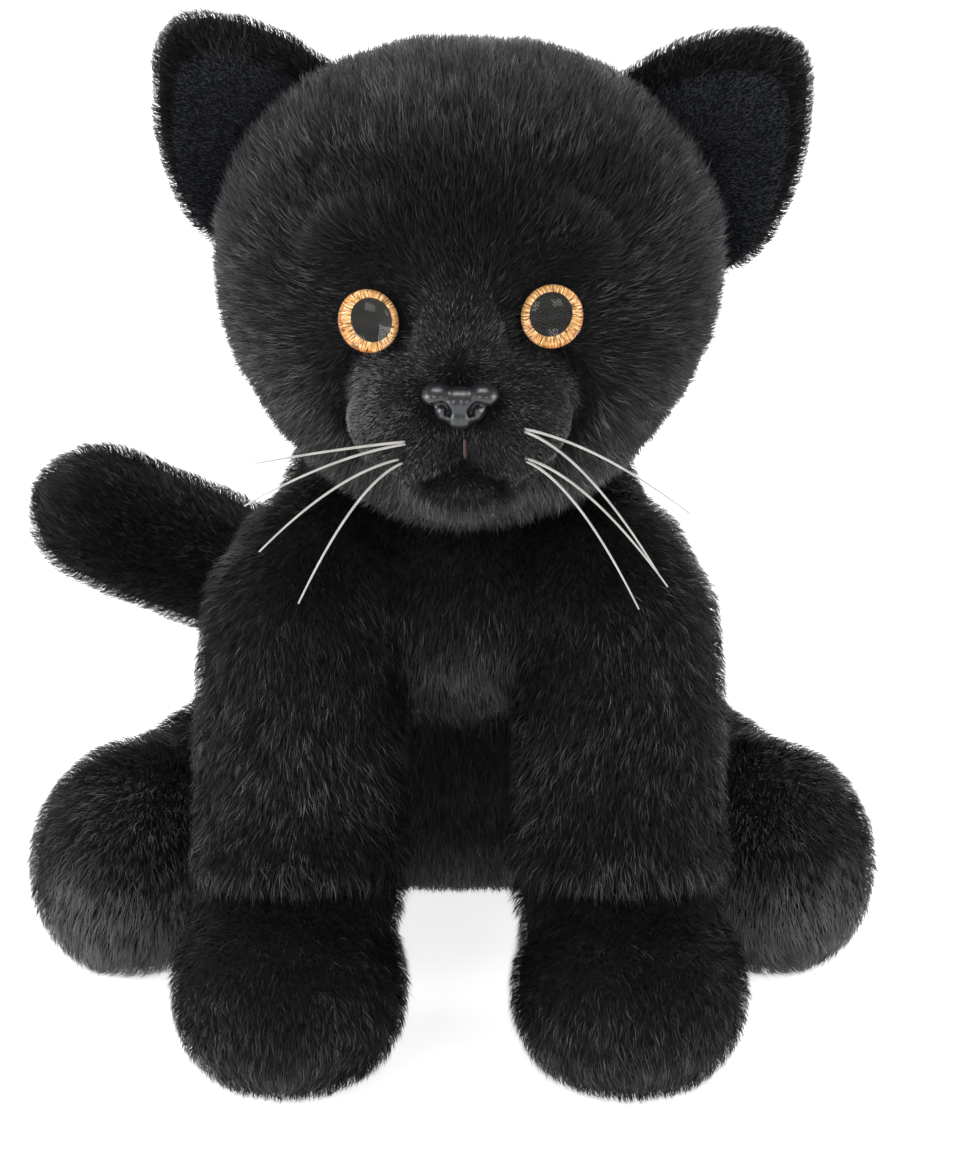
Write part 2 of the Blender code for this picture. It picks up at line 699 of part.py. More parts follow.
def build_face(body, looks):
    """The muzzle over its own stuffing, the chin, the nose on its shank, the whiskers and the mouth thread."""
    muzzle = muzzle_shape(0.0)
    front = copy_of(muzzle)
    cut(muzzle, muzzle_shape(THIN_COVER, 10, 6))
    stuffing = muzzle_shape(THIN_COVER + GAP, 10, 6)
    chin = chin_shape()
    room = grown(copy_of(front), GAP)
    cut(chin, room)
    for ob in (muzzle, stuffing, chin):
        cut(ob, grown(head_shape(), GAP))
    nose = nose_shape()
    back = NOSE + Vector((HEAD.x, 0, 0))
    shank = aimed(drum("shank", EYE_SHANK, 0, NOSE_SHANK_LENGTH, 12), back, (0, 1, 0))
    join(nose, shank)
    hole = aimed(drum("hole", EYE_SHANK + GAP, 0, NOSE_SHANK_LENGTH + 1, 12), back, (0, 1, 0))
    room = aimed(drum("room", 5.6, 4.0, NOSE_SHANK_LENGTH + 1, 16), back, (0, 1, 0))
    disc = washer("disc", 4.0, EYE_SHANK + GAP, NOSE_WASHER_AT, NOSE_WASHER_AT + WASHER_THICK, 16)
    aimed(disc, back, (0, 1, 0))
    pocket = egg("pocket", back, NOSE_SEAT_HALF, 14, 8)
    cut(muzzle, copy_of(pocket), hole)
    cut(stuffing, pocket, room)
    for first, second in ((0, 1), (2, 3)):
        line = channel_line(WHISKERS[first], WHISKERS[second])
        cut(muzzle, tube("channel", line, WHISKER_CHANNEL))
        cut(stuffing, tube("channel", line, WHISKER_CHANNEL + GAP))
    body.add(disc, "nose_washer", looks["washer_plastic"])
    for k, tips in enumerate(WHISKERS):
        rod = tube("whisker", whisker_line(tips), WHISKER_RADIUS, 5, tip=0.45)
        body.add(rod, f"whisker_{k + 1}", looks["bristle"])
    lift = STITCH_RADIUS + GAP + 1.2
    join(front, copy_of(chin))

    def on_front(x, z):
        return surface_at(front, (HEAD.x + x, -80, z), (0, 1, 0)) + Vector((0, -lift, 0))

    across = [on_front(x, 163.0 - 0.05 * abs(x) ** 1.5) for x in (-9, -6, -3, 0, 3, 6, 9)]
    upright = [on_front(0, z) for z in (163.0, 166.0, 169.0, 172.0)]
    stitch = join(tube("stitch", across, STITCH_RADIUS, 5), tube("stitch", upright, STITCH_RADIUS, 5))
    bpy.data.objects.remove(front)
    body.add(stitch, "mouth_stitch", looks["thread"])
    body.add(nose, "nose", looks["nose_plastic"])
    body.add(muzzle, "muzzle_cover", looks["short_plush"])
    body.add(stuffing, "muzzle_filling", looks["stuffing"])
    body.add(chin, "chin_cover", looks["plush"])


def build_head(body, looks):
    cover = head_shape()
    inner = head_shape(fine=False, inset=COVER)
    filling = head_shape(fine=False, inset=COVER + GAP)
    cut(cover, inner, egg("seat", NECK, (NECK_RADIUS + 2 * GAP,) * 3, 14, 9))
    cut(filling, egg("seat", NECK, (NECK_RADIUS + 3 * GAP,) * 3, 14, 9))
    build_eyes(body, looks, cover, filling)
    shank_end = NOSE + Vector((HEAD.x, 0, 0))
    room = aimed(drum("room", EYE_SHANK + 0.6, 0, NOSE_SHANK_LENGTH + 1.5, 12), shank_end, (0, 1, 0))
    cut(cover, copy_of(room))
    cut(filling, room)
    build_face(body, looks)
    body.add(cover, "head_cover", looks["plush"])
    body.add(filling, "head_filling", looks["stuffing"])


def build_ear(body, looks, side):
    back = ear_plate(side, EAR_RINGS, 0.0, EAR_BACK)
    lining = ear_plate(side, EAR_RINGS[1:], EAR_BACK + GAP, EAR_LINING)
    for ob in (back, lining):
        cut(ob, grown(head_shape(), EAR_CLEAR))
    body.add(back, f"ear_{side}_back", looks["plush"])
    body.add(lining, f"ear_{side}_lining", looks["short_plush"])


def build_limb(body, looks, side, names, leg_shape, end_shape, hole_at):
    """A leg cover open where it meets the paw or foot, that paw or foot, and the stuffing of both."""
    leg = leg_shape(side)
    cut(leg, leg_shape(side, False, COVER))
    leg_filling = leg_shape(side, False, COVER + GAP)
    cut(leg, grown(end_shape(side), GAP))
    cut(leg_filling, grown(end_shape(side), GAP))
    end = end_shape(side)
    cut(end, end_shape(side, False, COVER))
    hole = drum("hole", 10.0, -4.0, 40.0, 14)
    cut(end, aimed(hole, *hole_at))
    end_filling = end_shape(side, False, COVER + GAP)
    body.add(leg, f"{names[0]}_{side}_cover", looks["plush"])
    body.add(leg_filling, f"{names[0]}_{side}_filling", looks["stuffing"])
    body.add(end, f"{names[1]}_{side}_cover", looks["plush"])
    body.add(end_filling, f"{names[1]}_{side}_filling", looks["stuffing"])


def build_tail(body, looks):
    cover = tail_shape()
    cut(cover, tail_shape(False, COVER))
    hole = aimed(drum("hole", 8.0, -30.0, 0.0, 14), TAIL_ROOT, Vector((-0.55, 0.75, 0.0)))
    cut(cover, hole)
    filling = tail_shape(False, COVER + GAP)
    body.add(cover, "tail_cover", looks["plush"])
    body.add(filling, "tail_filling", looks["stuffing"])


def main():
    clear_scene()
    looks = {name: make_material(name) for name in MATERIALS}
    head_turn = turn_about(NECK, (0, 0, 1), math.degrees(HEAD_REST_TURN))
    torso = Body("torso", (0, 0, 0))
    build_torso(torso, looks)
    neck = Body("neck", NECK, torso)
    build_neck(neck, looks)
    head = Body("head", NECK, neck, head_turn)
    build_head(head, looks)
    for side in ("left", "right"):
        a, along, out, _ = ear_frame(side)
        pivot = head_turn @ (a + along * 25.5 * EAR_SCALE[side] + out * 4.0)
        build_ear(Body(f"ear_{side}", pivot, head, head_turn), looks, side)
        shoulder = mirrored(SHOULDER, side)
        leg = Body(f"front_leg_{side}", shoulder, torso)
        top = mirrored((FRONT_PAW[0][0], 20.0, 34.0), side)
        names = ("front_leg", "front_paw")
        build_limb(leg, looks, side, names, front_leg_shape, front_paw_shape, (top, (0, 0, 1)))
        hip = mirrored(HIP, side)
        leg = Body(f"hind_leg_{side}", hip, torso)
        foot = Vector(HIND_FOOT[side])
        way = (hip - foot).normalized()
        names = ("hind_leg", "hind_foot")
        build_limb(leg, looks, side, names, hind_leg_shape, hind_foot_shape, (foot + way * 14.0, way))
    build_tail(Body("tail", TAIL_ROOT, torso), looks)


main()
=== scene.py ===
"""Looks of the sitting plush cat: stuffed skins, pile made of fine fibres, safety eyes, nose and whiskers."""

import math

import bmesh
import bpy
import numpy as np
from mathutils import Matrix, Vector
from mathutils.bvhtree import BVHTree


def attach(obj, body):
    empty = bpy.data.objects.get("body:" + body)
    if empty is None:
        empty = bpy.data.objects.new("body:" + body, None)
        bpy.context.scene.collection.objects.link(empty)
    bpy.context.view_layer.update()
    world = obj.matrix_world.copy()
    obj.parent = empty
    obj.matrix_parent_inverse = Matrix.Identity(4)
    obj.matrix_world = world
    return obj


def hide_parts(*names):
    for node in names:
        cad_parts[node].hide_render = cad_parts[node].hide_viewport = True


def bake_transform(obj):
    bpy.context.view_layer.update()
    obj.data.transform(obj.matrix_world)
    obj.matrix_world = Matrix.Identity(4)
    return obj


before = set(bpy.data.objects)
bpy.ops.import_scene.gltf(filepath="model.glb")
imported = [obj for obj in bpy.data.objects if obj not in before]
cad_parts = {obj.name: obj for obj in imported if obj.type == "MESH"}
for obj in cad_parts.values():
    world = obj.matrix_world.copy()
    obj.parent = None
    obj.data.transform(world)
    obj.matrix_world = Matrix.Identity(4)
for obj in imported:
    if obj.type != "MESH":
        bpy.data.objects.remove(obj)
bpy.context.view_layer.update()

# Everything below is in millimetres, in the pattern's own frame, until it becomes an object.
MM = 0.001
SHIFT = np.array([5.9, -78.8, 0.0])
SIDES = ("left", "right")

TORSO_LEVELS = [
    (0.0, 154.0, 30.0, 14.0), (5.0, 147.0, 43.0, 25.0), (15.0, 136.0, 50.0, 36.0), (32.0, 126.0, 53.0, 44.0),
    (52.0, 117.0, 53.0, 47.0), (72.0, 106.0, 52.0, 45.0), (92.0, 94.0, 51.0, 40.0), (110.0, 82.0, 49.0, 35.0),
    (126.0, 73.0, 46.0, 31.0), (140.0, 67.0, 41.0, 27.0), (152.0, 63.0, 34.0, 22.0),
]
FRONT_LEG_LEVELS = [
    (20.0, 20.0, 9.0, 8.0), (26.0, 20.0, 20.0, 16.0), (34.0, 21.0, 24.5, 20.0), (46.0, 25.0, 26.0, 22.0),
    (66.0, 32.0, 26.0, 22.5), (86.0, 38.0, 25.9, 24.0), (104.0, 42.0, 24.6, 24.6),
]
NECK = np.array([2.5, 63.0, 138.5])
NECK_RADIUS = 26.0
SHOULDER = np.array([38.8, 42.0, 104.5])
SHOULDER_RADIUS = 24.6
FRONT_PAW = (np.array([41.4, 12.0, 22.0]), np.array([28.6, 35.0, 24.5]))
WRIST = np.array([40.0, 22.0, 42.0])
HIP = np.array([48.0, 125.0, 38.0])
HIP_RADIUS = 26.5
HIND_FOOT = {"right": np.array([-82.8, 86.0, 27.0]), "left": np.array([78.6, 86.0, 27.0])}
HIND_FOOT_HALF = np.array([26.5, 35.0, 29.0])
HIND_FOOT_YAW = math.radians(14.0)
TAIL_LINE = [
    ((-13.0, 165.0, 56.0), 16.5), ((-36.0, 174.0, 66.0), 17.6), ((-60.0, 177.0, 76.5), 18.6),
    ((-83.0, 174.0, 87.5), 19.2), ((-98.5, 169.0, 96.0), 18.8),
]
HEAD = np.array([3.3, 42.0, 192.0])
HEAD_HALF = np.array([59.5, 54.5, 57.5])
HEAD_TAPER = 0.13
HEAD_TURN = math.radians(-2.3)
EYE_OFFSET = 21.2
EYE_HEIGHT = {"right": 194.2, "left": 195.7}
EYE_RADIUS = 7.4
NOSE = np.array([0.0, -26.5, 180.0])
EAR_OUTLINE = [
    (1.0, -3.0), (0.0, 6.0), (0.5, 15.0), (3.5, 25.0), (7.5, 33.5), (12.0, 39.0), (17.5, 40.5),
    (24.0, 38.0), (31.0, 33.0), (38.5, 27.0), (45.5, 18.5), (50.5, 9.0), (52.0, 0.0), (50.0, -3.0),
]
EAR_MID = np.array([25.5, 13.0])
EAR_SEAM = {
    "right": ((-31.8, 54.0, 240.6), (-63.2, 49.0, 198.6)),
    "left": ((34.6, 54.0, 239.4), (64.4, 48.0, 192.9)),
}
EAR_SCALE = {"right": 0.98, "left": 1.04}
EAR_CUP = 8.0
BACK_SHARE = 0.985
BACK_DEPTHS = (0.6, 6.6)
LINING_SHARE = 0.84
LINING_DEPTHS = (6.1, 7.7)
LINING_MOVE = np.array([3.4, -3.4])
WHISKERS = [
    # right tip, right exit, left exit, left tip
    ((-46.0, -33.0, 166.4), (-13.8, -30.2, 170.2), (17.2, -29.4, 173.5), (53.5, -33.0, 155.6)),
    ((-48.5, -31.0, 155.8), (-13.8, -30.0, 169.6), (17.2, -29.2, 172.9), (46.5, -36.0, 142.0)),
    ((-45.0, -34.0, 145.8), (-15.3, -29.6, 165.6), (17.4, -28.8, 166.4), (48.5, -33.0, 138.3)),
    ((-36.0, -36.0, 134.1), (-14.4, -29.4, 164.6), (17.4, -28.6, 165.6), (42.0, -35.0, 133.4)),
]


def sided(point, side):
    p = np.array(point, float)
    return p if side == "left" else p * (-1, 1, 1)


def unit(v):
    v = np.asarray(v, float)
    return v / np.maximum(np.linalg.norm(v, axis=-1, keepdims=True), 1e-9)


def bell(v):
    """1 where v is 0, falling smoothly to 0 on both sides."""
    return np.exp(-v ** 2)


def clip01(v):
    return np.clip(v, 0, 1)


def to_world(points):
    return (np.asarray(points, float) + SHIFT) * MM


def about_neck(points, angle=HEAD_TURN):
    """Head pieces are drawn facing straight ahead; this gives them the head's turn."""
    c, s = math.cos(angle), math.sin(angle)
    turn = np.array([[c, -s, 0], [s, c, 0], [0, 0, 1]])
    return (np.asarray(points, float) - NECK) @ turn.T + NECK


# Basic shapes as (vertices, faces).

def signed_power(v, power):
    return np.sign(v) * np.abs(v) ** (2.0 / power)


def round_angles(count):
    return np.linspace(0, 2 * math.pi, count, endpoint=False)


def full_circle(count, power):
    """Points round a circle of radius 1, squarer as the power grows past 2."""
    angle = round_angles(count)
    return signed_power(np.cos(angle), power), signed_power(np.sin(angle), power)


def ring_round(centre, radius, across, up, count):
    """A circle of points in the plane of two directions."""
    angle = round_angles(count)[:, None]
    return centre + radius * (np.cos(angle) * across + np.sin(angle) * up)


def rings_shape(rings, start, end):
    n = len(rings[0])
    verts = [np.array([start])] + [np.array(r) for r in rings] + [np.array([end])]
    faces = []
    for k in range(len(rings) - 1):
        a = 1 + k * n
        faces += [(a + i, a + (i + 1) % n, a + n + (i + 1) % n, a + n + i) for i in range(n)]
    last = 1 + len(rings) * n
    faces += [(0, 1 + (i + 1) % n, 1 + i) for i in range(n)]
    faces += [(last, last - n + i, last - n + (i + 1) % n) for i in range(n)]
    return np.concatenate(verts), faces


def egg(centre, half, power=2.0, taper=0.0, yaw=0.0, floor=None, segments=40, rows=24):
    half = np.array(half, float)
    px, py = full_circle(segments, power)
    rings = []
    for r in range(1, rows):
        lat = math.pi * r / rows - math.pi / 2
        flat, up = signed_power(np.array([math.cos(lat), math.sin(lat)]), power)
        x, y = half[0] * flat * px * (1 + taper * up), half[1] * flat * py
        c, s = math.cos(yaw), math.sin(yaw)
        rings.append(np.stack([x * c - y * s, x * s + y * c, np.full(segments, half[2] * up)], 1) + centre)
    shape = rings_shape(rings, centre - np.array([0, 0, half[2]]), centre + np.array([0, 0, half[2]]))
    if floor is not None:
        shape[0][:, 2] = np.maximum(shape[0][:, 2], floor)
    return shape


def column(levels, x, inset, segments=40, rows=30, power=2.3):
    table = np.array(levels)
    z = np.linspace(table[0, 0] + inset, table[-1, 0], rows)
    mid, wide, deep = (np.interp(z, table[:, 0], table[:, k]) for k in (1, 2, 3))
    px, py = full_circle(segments, power)
    rings = []
    for k in range(rows):
        ring = [x + (wide[k] - inset) * px, mid[k] + (deep[k] - inset) * py, np.full(segments, z[k])]
        rings.append(np.stack(ring, 1))
    return rings_shape(rings, np.array([x, mid[0], z[0]]), np.array([x, mid[-1], z[-1]]))


def capsule(line, inset, segments=32, floor=None, cap=7):
    points = np.array([p for p, _ in line], float)
    radii = np.array([r for _, r in line]) - inset
    t = np.linspace(0, len(points) - 1, len(points) * 5)
    middle = np.stack([np.interp(t, range(len(points)), points[:, k]) for k in range(3)], 1)
    for _ in range(4):
        middle[1:-1] = (middle[:-2] + middle[1:-1] * 2 + middle[2:]) / 4
    radius = np.interp(t, range(len(points)), radii)
    ways = unit(np.gradient(middle, axis=0))
    steps = [math.pi / 2 * k / cap for k in range(1, cap)]
    stations = []
    for a in steps:
        stations.append((middle[0] - ways[0] * radius[0] * math.cos(a), radius[0] * math.sin(a), ways[0]))
    stations += list(zip(middle, radius, ways))
    for a in reversed(steps):
        centre = middle[-1] + ways[-1] * radius[-1] * math.cos(a)
        stations.append((centre, radius[-1] * math.sin(a), ways[-1]))
    rings = []
    for centre, r, way in stations:
        across = unit(np.cross(way, (0, 0, 1)))
        rings.append(ring_round(centre, r, across, np.cross(across, way), segments))
    shape = rings_shape(rings, middle[0] - ways[0] * radius[0], middle[-1] + ways[-1] * radius[-1])
    if floor is not None:
        shape[0][:, 2] = np.maximum(shape[0][:, 2], floor)
    return shape


# Meshes.

def placed(name, data):
    """A new object in the scene."""
    ob = bpy.data.objects.new(name, data)
    bpy.context.scene.collection.objects.link(ob)
    return ob


def make_object(name, verts, faces):
    mesh = bpy.data.meshes.new(name)
    mesh.from_pydata([tuple(p) for p in to_world(verts)], [], [tuple(f) for f in faces])
    mesh.validate()
    return placed(name, mesh)


def merged(*shapes):
    verts, faces, start = [], [], 0
    for v, f in shapes:
        verts.append(v)
        faces += [tuple(i + start for i in face) for face in f]
        start += len(v)
    return np.concatenate(verts), faces


def fetched(items, field, width, kind=float):
    """One field of every item of a mesh, a row for each item."""
    values = np.empty(len(items) * width, kind)
    items.foreach_get(field, values)
    return values.reshape(-1, width)


def coords(ob):
    return fetched(ob.data.vertices, "co", 3) / MM - SHIFT


def set_coords(ob, points):
    ob.data.vertices.foreach_set("co", to_world(points).ravel())
    ob.data.update()


def applied(ob):
    """The object's mesh with its modifiers worked in."""
    dg = bpy.context.evaluated_depsgraph_get()
    mesh = bpy.data.meshes.new_from_object(ob.evaluated_get(dg))
    old = ob.data
    ob.modifiers.clear()
    ob.data = mesh
    mesh.name = ob.name
    bpy.data.meshes.remove(old)
    return ob


def remeshed(ob, voxel):
    mod = ob.modifiers.new("voxels", "REMESH")
    mod.mode = "VOXEL"
    mod.voxel_size = voxel * MM
    return applied(ob)


def edges_of(ob):
    return fetched(ob.data.edges, "vertices", 2, int)


def relaxed(ob, rounds, keep=None):
    """Smooths without shrinking; keep is a share per vertex that stays as it is."""
    p, e = coords(ob), edges_of(ob)
    count = np.bincount(e.ravel(), minlength=len(p))[:, None]
    hold = 1.0 if keep is None else (1 - keep)[:, None]
    for _ in range(rounds):
        for share in (0.5, -0.52):
            total = np.zeros_like(p)
            np.add.at(total, e[:, 0], p[e[:, 1]])
            np.add.at(total, e[:, 1], p[e[:, 0]])
            p = p + share * hold * (total / count - p)
    set_coords(ob, p)
    return ob


def stuffed(ob, pressure, cap):
    """Blows the skin up as cloth under the pressure of its stuffing, each point moving no more than cap."""
    start = coords(ob)
    mod = ob.modifiers.new("stuffing", "CLOTH")
    mod.settings.quality = 4
    mod.settings.mass = 0.3
    mod.settings.use_pressure = True
    mod.settings.uniform_pressure_force = pressure
    mod.settings.shrink_min = -0.02
    mod.settings.effector_weights.gravity = 0
    mod.collision_settings.use_collision = False
    scene = bpy.context.scene
    for k in range(1, 21):
        scene.frame_set(k)
    ob = applied(ob)
    scene.frame_set(1)
    move = coords(ob) - start
    far = np.linalg.norm(move, axis=1, keepdims=True)
    set_coords(ob, start + move * np.minimum(1, cap / np.maximum(far, 1e-6)))
    return ob


def subdivided(ob, levels=1):
    mod = ob.modifiers.new("finer", "SUBSURF")
    mod.levels = mod.render_levels = levels
    return applied(ob)


def smooth(ob):
    ob.data.polygons.foreach_set("use_smooth", [True] * len(ob.data.polygons))
    ob.data.update()
    return ob


def triangles(ob):
    ob.data.calc_loop_triangles()
    return fetched(ob.data.loop_triangles, "vertices", 3, int)


def normals(ob):
    return fetched(ob.data.vertices, "normal", 3)


def nearest_label(points, shapes):
    """For each point, which of the shapes has the nearest surface."""
    best = np.full(len(points), 1e9)
    label = np.zeros(len(points), int)
    for k, (verts, faces) in enumerate(shapes):
        tree = BVHTree.FromPolygons([Vector(v) for v in verts], faces)
        far = np.array([tree.find_nearest(Vector(p))[3] for p in points])
        label[far < best] = k
        best = np.minimum(best, far)
    return label


def part_of(ob, name, keep_faces):
    """A new object made of some of the faces."""
    verts = coords(ob)
    faces = [tuple(f.vertices) for f, k in zip(ob.data.polygons, keep_faces) if k]
    used = np.unique(np.concatenate([np.array(f) for f in faces]))
    new = np.full(len(verts), -1)
    new[used] = np.arange(len(used))
    return smooth(make_object(name, verts[used], [tuple(new[list(f)]) for f in faces]))


class Noise:
    """Smooth random values from -1 to 1 through space."""

    def __init__(self, seed):
        self.table = np.random.default_rng(seed).uniform(-1, 1, (32, 32, 32))

    def __call__(self, points, size):
        q = points / size
        base = np.floor(q).astype(int)
        f = q - base
        f = f * f * (3 - 2 * f)
        total = np.zeros(len(points))
        for dx in (0, 1):
            for dy in (0, 1):
                for dz in (0, 1):
                    share = np.ones(len(points))
                    for axis, d in enumerate((dx, dy, dz)):
                        share = share * (f[:, axis] if d else 1 - f[:, axis])
                    i = (base + (dx, dy, dz)) % 32
                    total += share * self.table[i[:, 0], i[:, 1], i[:, 2]]
        return total


NOISE_TURN, NOISE_LIFT, NOISE_SIZE, NOISE_SHADE = (Noise(s) for s in (11, 12, 13, 14))


# Materials.

def material(name, colour, roughness):
    mat = bpy.data.materials.new(name)
    mat.use_nodes = True
    shader = mat.node_tree.nodes["Principled BSDF"]
    shader.inputs["Base Color"].default_value = (*colour, 1)
    shader.inputs["Roughness"].default_value = roughness
    return mat, mat.node_tree, shader


def ramp(tree, stops):
    node = tree.nodes.new("ShaderNodeValToRGB")
    elements = node.color_ramp.elements
    while len(elements) < len(stops):
        elements.new(0.5)
    for element, (at, colour) in zip(elements, stops):
        element.position = at
        element.color = (*colour, 1)
    return node


def noise_node(tree, scale, detail=4.0, roughness=0.5):
    where = tree.nodes.new("ShaderNodeTexCoord")
    node = tree.nodes.new("ShaderNodeTexNoise")
    node.inputs["Scale"].default_value = scale
    node.inputs["Detail"].default_value = detail
    node.inputs["Roughness"].default_value = roughness
    tree.links.new(where.outputs["Object"], node.inputs["Vector"])
    return node


def coloured(tree, shader, texture, stops):
    """Colours the shader by the value of a texture."""
    shade = ramp(tree, stops)
    tree.links.new(texture.outputs["Fac"], shade.inputs["Fac"])
    tree.links.new(shade.outputs["Color"], shader.inputs["Base Color"])


def bumped(tree, shader, height, strength, distance):
    bump = tree.nodes.new("ShaderNodeBump")
    bump.inputs["Strength"].default_value = strength
    bump.inputs["Distance"].default_value = distance
    tree.links.new(height, bump.inputs["Height"])
    tree.links.new(bump.outputs["Normal"], shader.inputs["Normal"])


def backing_material(name, dark, light):
    """The knitted backing between the roots of the pile."""
    mat, tree, shader = material(name, dark, 0.95)
    shader.inputs["Specular IOR Level"].default_value = 0.1
    cloth = noise_node(tree, 900.0, 3.0)
    coloured(tree, shader, cloth, [(0.3, dark), (0.7, light)])
    bumped(tree, shader, cloth.outputs["Fac"], 0.6, 0.0006)
    return mat


def fibre_material(name, colour, roughness, specular):
    mat, _, shader = material(name, colour, roughness)
    shader.inputs["Specular IOR Level"].default_value = specular
    return mat


BACKING = backing_material("plush_backing", (0.002, 0.002, 0.0025), (0.008, 0.008, 0.009))
LINING_BACKING = backing_material("lining_backing", (0.0018, 0.0020, 0.0032), (0.005, 0.006, 0.009))
# Grades of the one black fibre from dark to light, and a warm brown one. The three lightest grades are
# lighter copies that stand for painted sheen: some fall at random, and the painted-light functions put more
# of them where light falls.
PILE = [
    fibre_material("pile_black", (0.0014, 0.0014, 0.0020), 0.52, 0.16),
    fibre_material("pile_dark", (0.0038, 0.0036, 0.0043), 0.48, 0.24),
    fibre_material("pile_grey", (0.0125, 0.0118, 0.0130), 0.44, 0.34),
    fibre_material("pile_sheen", (0.040, 0.038, 0.040), 0.42, 0.42),
    fibre_material("pile_bright_sheen", (0.080, 0.077, 0.078), 0.42, 0.45),
    fibre_material("pile_warm", (0.026, 0.019, 0.015), 0.44, 0.35),
]
# Grades of the ear lining's short fibre, from dark to light; the lighter ones stand for painted sheen towards
# the lining's edge.
SHORT_PILE = [
    fibre_material("short_black", (0.0075, 0.0083, 0.0115), 0.6, 0.25),
    fibre_material("short_navy", (0.0130, 0.0142, 0.0205), 0.6, 0.3),
    fibre_material("short_blue", (0.022, 0.025, 0.033), 0.55, 0.35),
]


# Pile.

MAX_STRANDS = 62000
DENSITY = 1.0
LIFTS = (58.0, 24.0)            # the angle above the skin of each half of a fibre
ROOT_DEPTH = 0.3
SWAY = 0.2                      # how far fibres stray sideways from the way they lie
ROLL = 0.9                      # the most that a ribbon is turned about its own line
HALF_WIDTHS = (0.5, 0.42)       # at the root and at the bend, as shares of the fibre's width
OVER_FLOOR = 0.25
COLOUR_SHARES = (0.36, 0.36, 0.20, 0.07, 0.01)


def strands(name, roots, normal, way, length, width, lift, shade, looks, seed):
    """Fibres as narrow ribbons that taper and bend over at half their length, as a list of objects."""
    rng = np.random.default_rng(seed)
    n = len(roots)
    across = np.cross(normal, way)
    sway = rng.normal(0, SWAY, n)[:, None]
    points, ways = [roots - normal * ROOT_DEPTH], []
    for k, base in enumerate(LIFTS):
        a = np.radians(np.clip(base + lift, 3, 88))[:, None]
        d = unit(np.cos(a) * (way + across * sway * k) + np.sin(a) * normal)
        points.append(points[-1] + d * (length / 2)[:, None])
        ways.append(d)
    ways.append(ways[-1])
    roll = rng.uniform(-ROLL, ROLL, n)[:, None]
    verts, bent = [], []
    for k, (p, d) in enumerate(zip(points, ways)):
        side = unit(np.cross(d, normal))
        up = np.cross(side, d)
        side = np.cos(roll) * side + np.sin(roll) * up
        face = unit(np.cross(side, d))
        if k < 2:
            half = (width * HALF_WIDTHS[k])[:, None]
            verts += [p - side * half, p + side * half]
            bent += [unit(face - side * 0.9), unit(face + side * 0.9)]
        else:
            verts.append(p)
            bent.append(face)
    verts = np.stack(verts, 1)
    verts[..., 2] = np.maximum(verts[..., 2], OVER_FLOOR)
    bent = np.stack(bent, 1)
    pattern = np.array([0, 1, 3, 0, 3, 2, 2, 3, 4])
    made = []
    for start in range(0, n, MAX_STRANDS):
        stop = min(n, start + MAX_STRANDS)
        count = stop - start
        mesh = bpy.data.meshes.new(name)
        mesh.vertices.add(count * 5)
        mesh.vertices.foreach_set("co", to_world(verts[start:stop].reshape(-1, 3)).astype(np.float32).ravel())
        corners = (pattern[None] + 5 * np.arange(count)[:, None]).ravel().astype(np.int32)
        mesh.loops.add(len(corners))
        mesh.loops.foreach_set("vertex_index", corners)
        mesh.polygons.add(count * 3)
        mesh.polygons.foreach_set("loop_start", np.arange(0, count * 9, 3, dtype=np.int32))
        mesh.polygons.foreach_set("material_index", np.repeat(shade[start:stop], 3).astype(np.int32))
        mesh.update(calc_edges=True)
        mesh.polygons.foreach_set("use_smooth", np.ones(count * 3, bool))
        mesh.normals_split_custom_set_from_vertices(bent[start:stop].reshape(-1, 3).astype(np.float32))
        for look in looks:
            mesh.materials.append(look)
        label = name if n <= MAX_STRANDS else f"{name}_{start // MAX_STRANDS + 1}"
        made.append(placed(label, mesh))
    return made


def roots_on(skin, density, seed):
    """Random places on a skin, density of them for each square millimetre, and the normals there."""
    rng = np.random.default_rng(seed)
    p, t, n = coords(skin), triangles(skin), normals(skin)
    corners = p[t]
    area = np.linalg.norm(np.cross(corners[:, 1] - corners[:, 0], corners[:, 2] - corners[:, 0]), axis=1) / 2
    which = np.repeat(np.arange(len(t)), rng.poisson(area * density * DENSITY))
    u, v = rng.random(len(which)), rng.random(len(which))
    flip = u + v > 1
    u[flip], v[flip] = 1 - u[flip], 1 - v[flip]
    share = np.stack([1 - u - v, u, v], 1)[:, :, None]
    return (p[t[which]] * share).sum(1), unit((n[t[which]] * share).sum(1))


def shades(points, rng, chances, streak, tone, warm):
    """A colour index for each fibre, neighbours tending to be alike; the given function of place paints light
    and shade into the fibres' colour by making places lighter or darker.
    """
    bias = np.zeros(len(points)) if tone is None else tone(points)
    least = np.clip(bias, 0, 0.96)
    level = least + rng.random(len(points)) * (1 - least) + np.minimum(bias, 0)
    level += (0.20 * NOISE_SHADE(points, streak) + 0.16 * NOISE_SHADE(points + 90, 16.0)) * (1 - 0.6 * least)
    shade = np.searchsorted(np.cumsum(chances)[:-1], np.clip(level, 0, 0.9999))
    if warm:
        shade[rng.random(len(points)) < warm] = len(chances)
    return shade


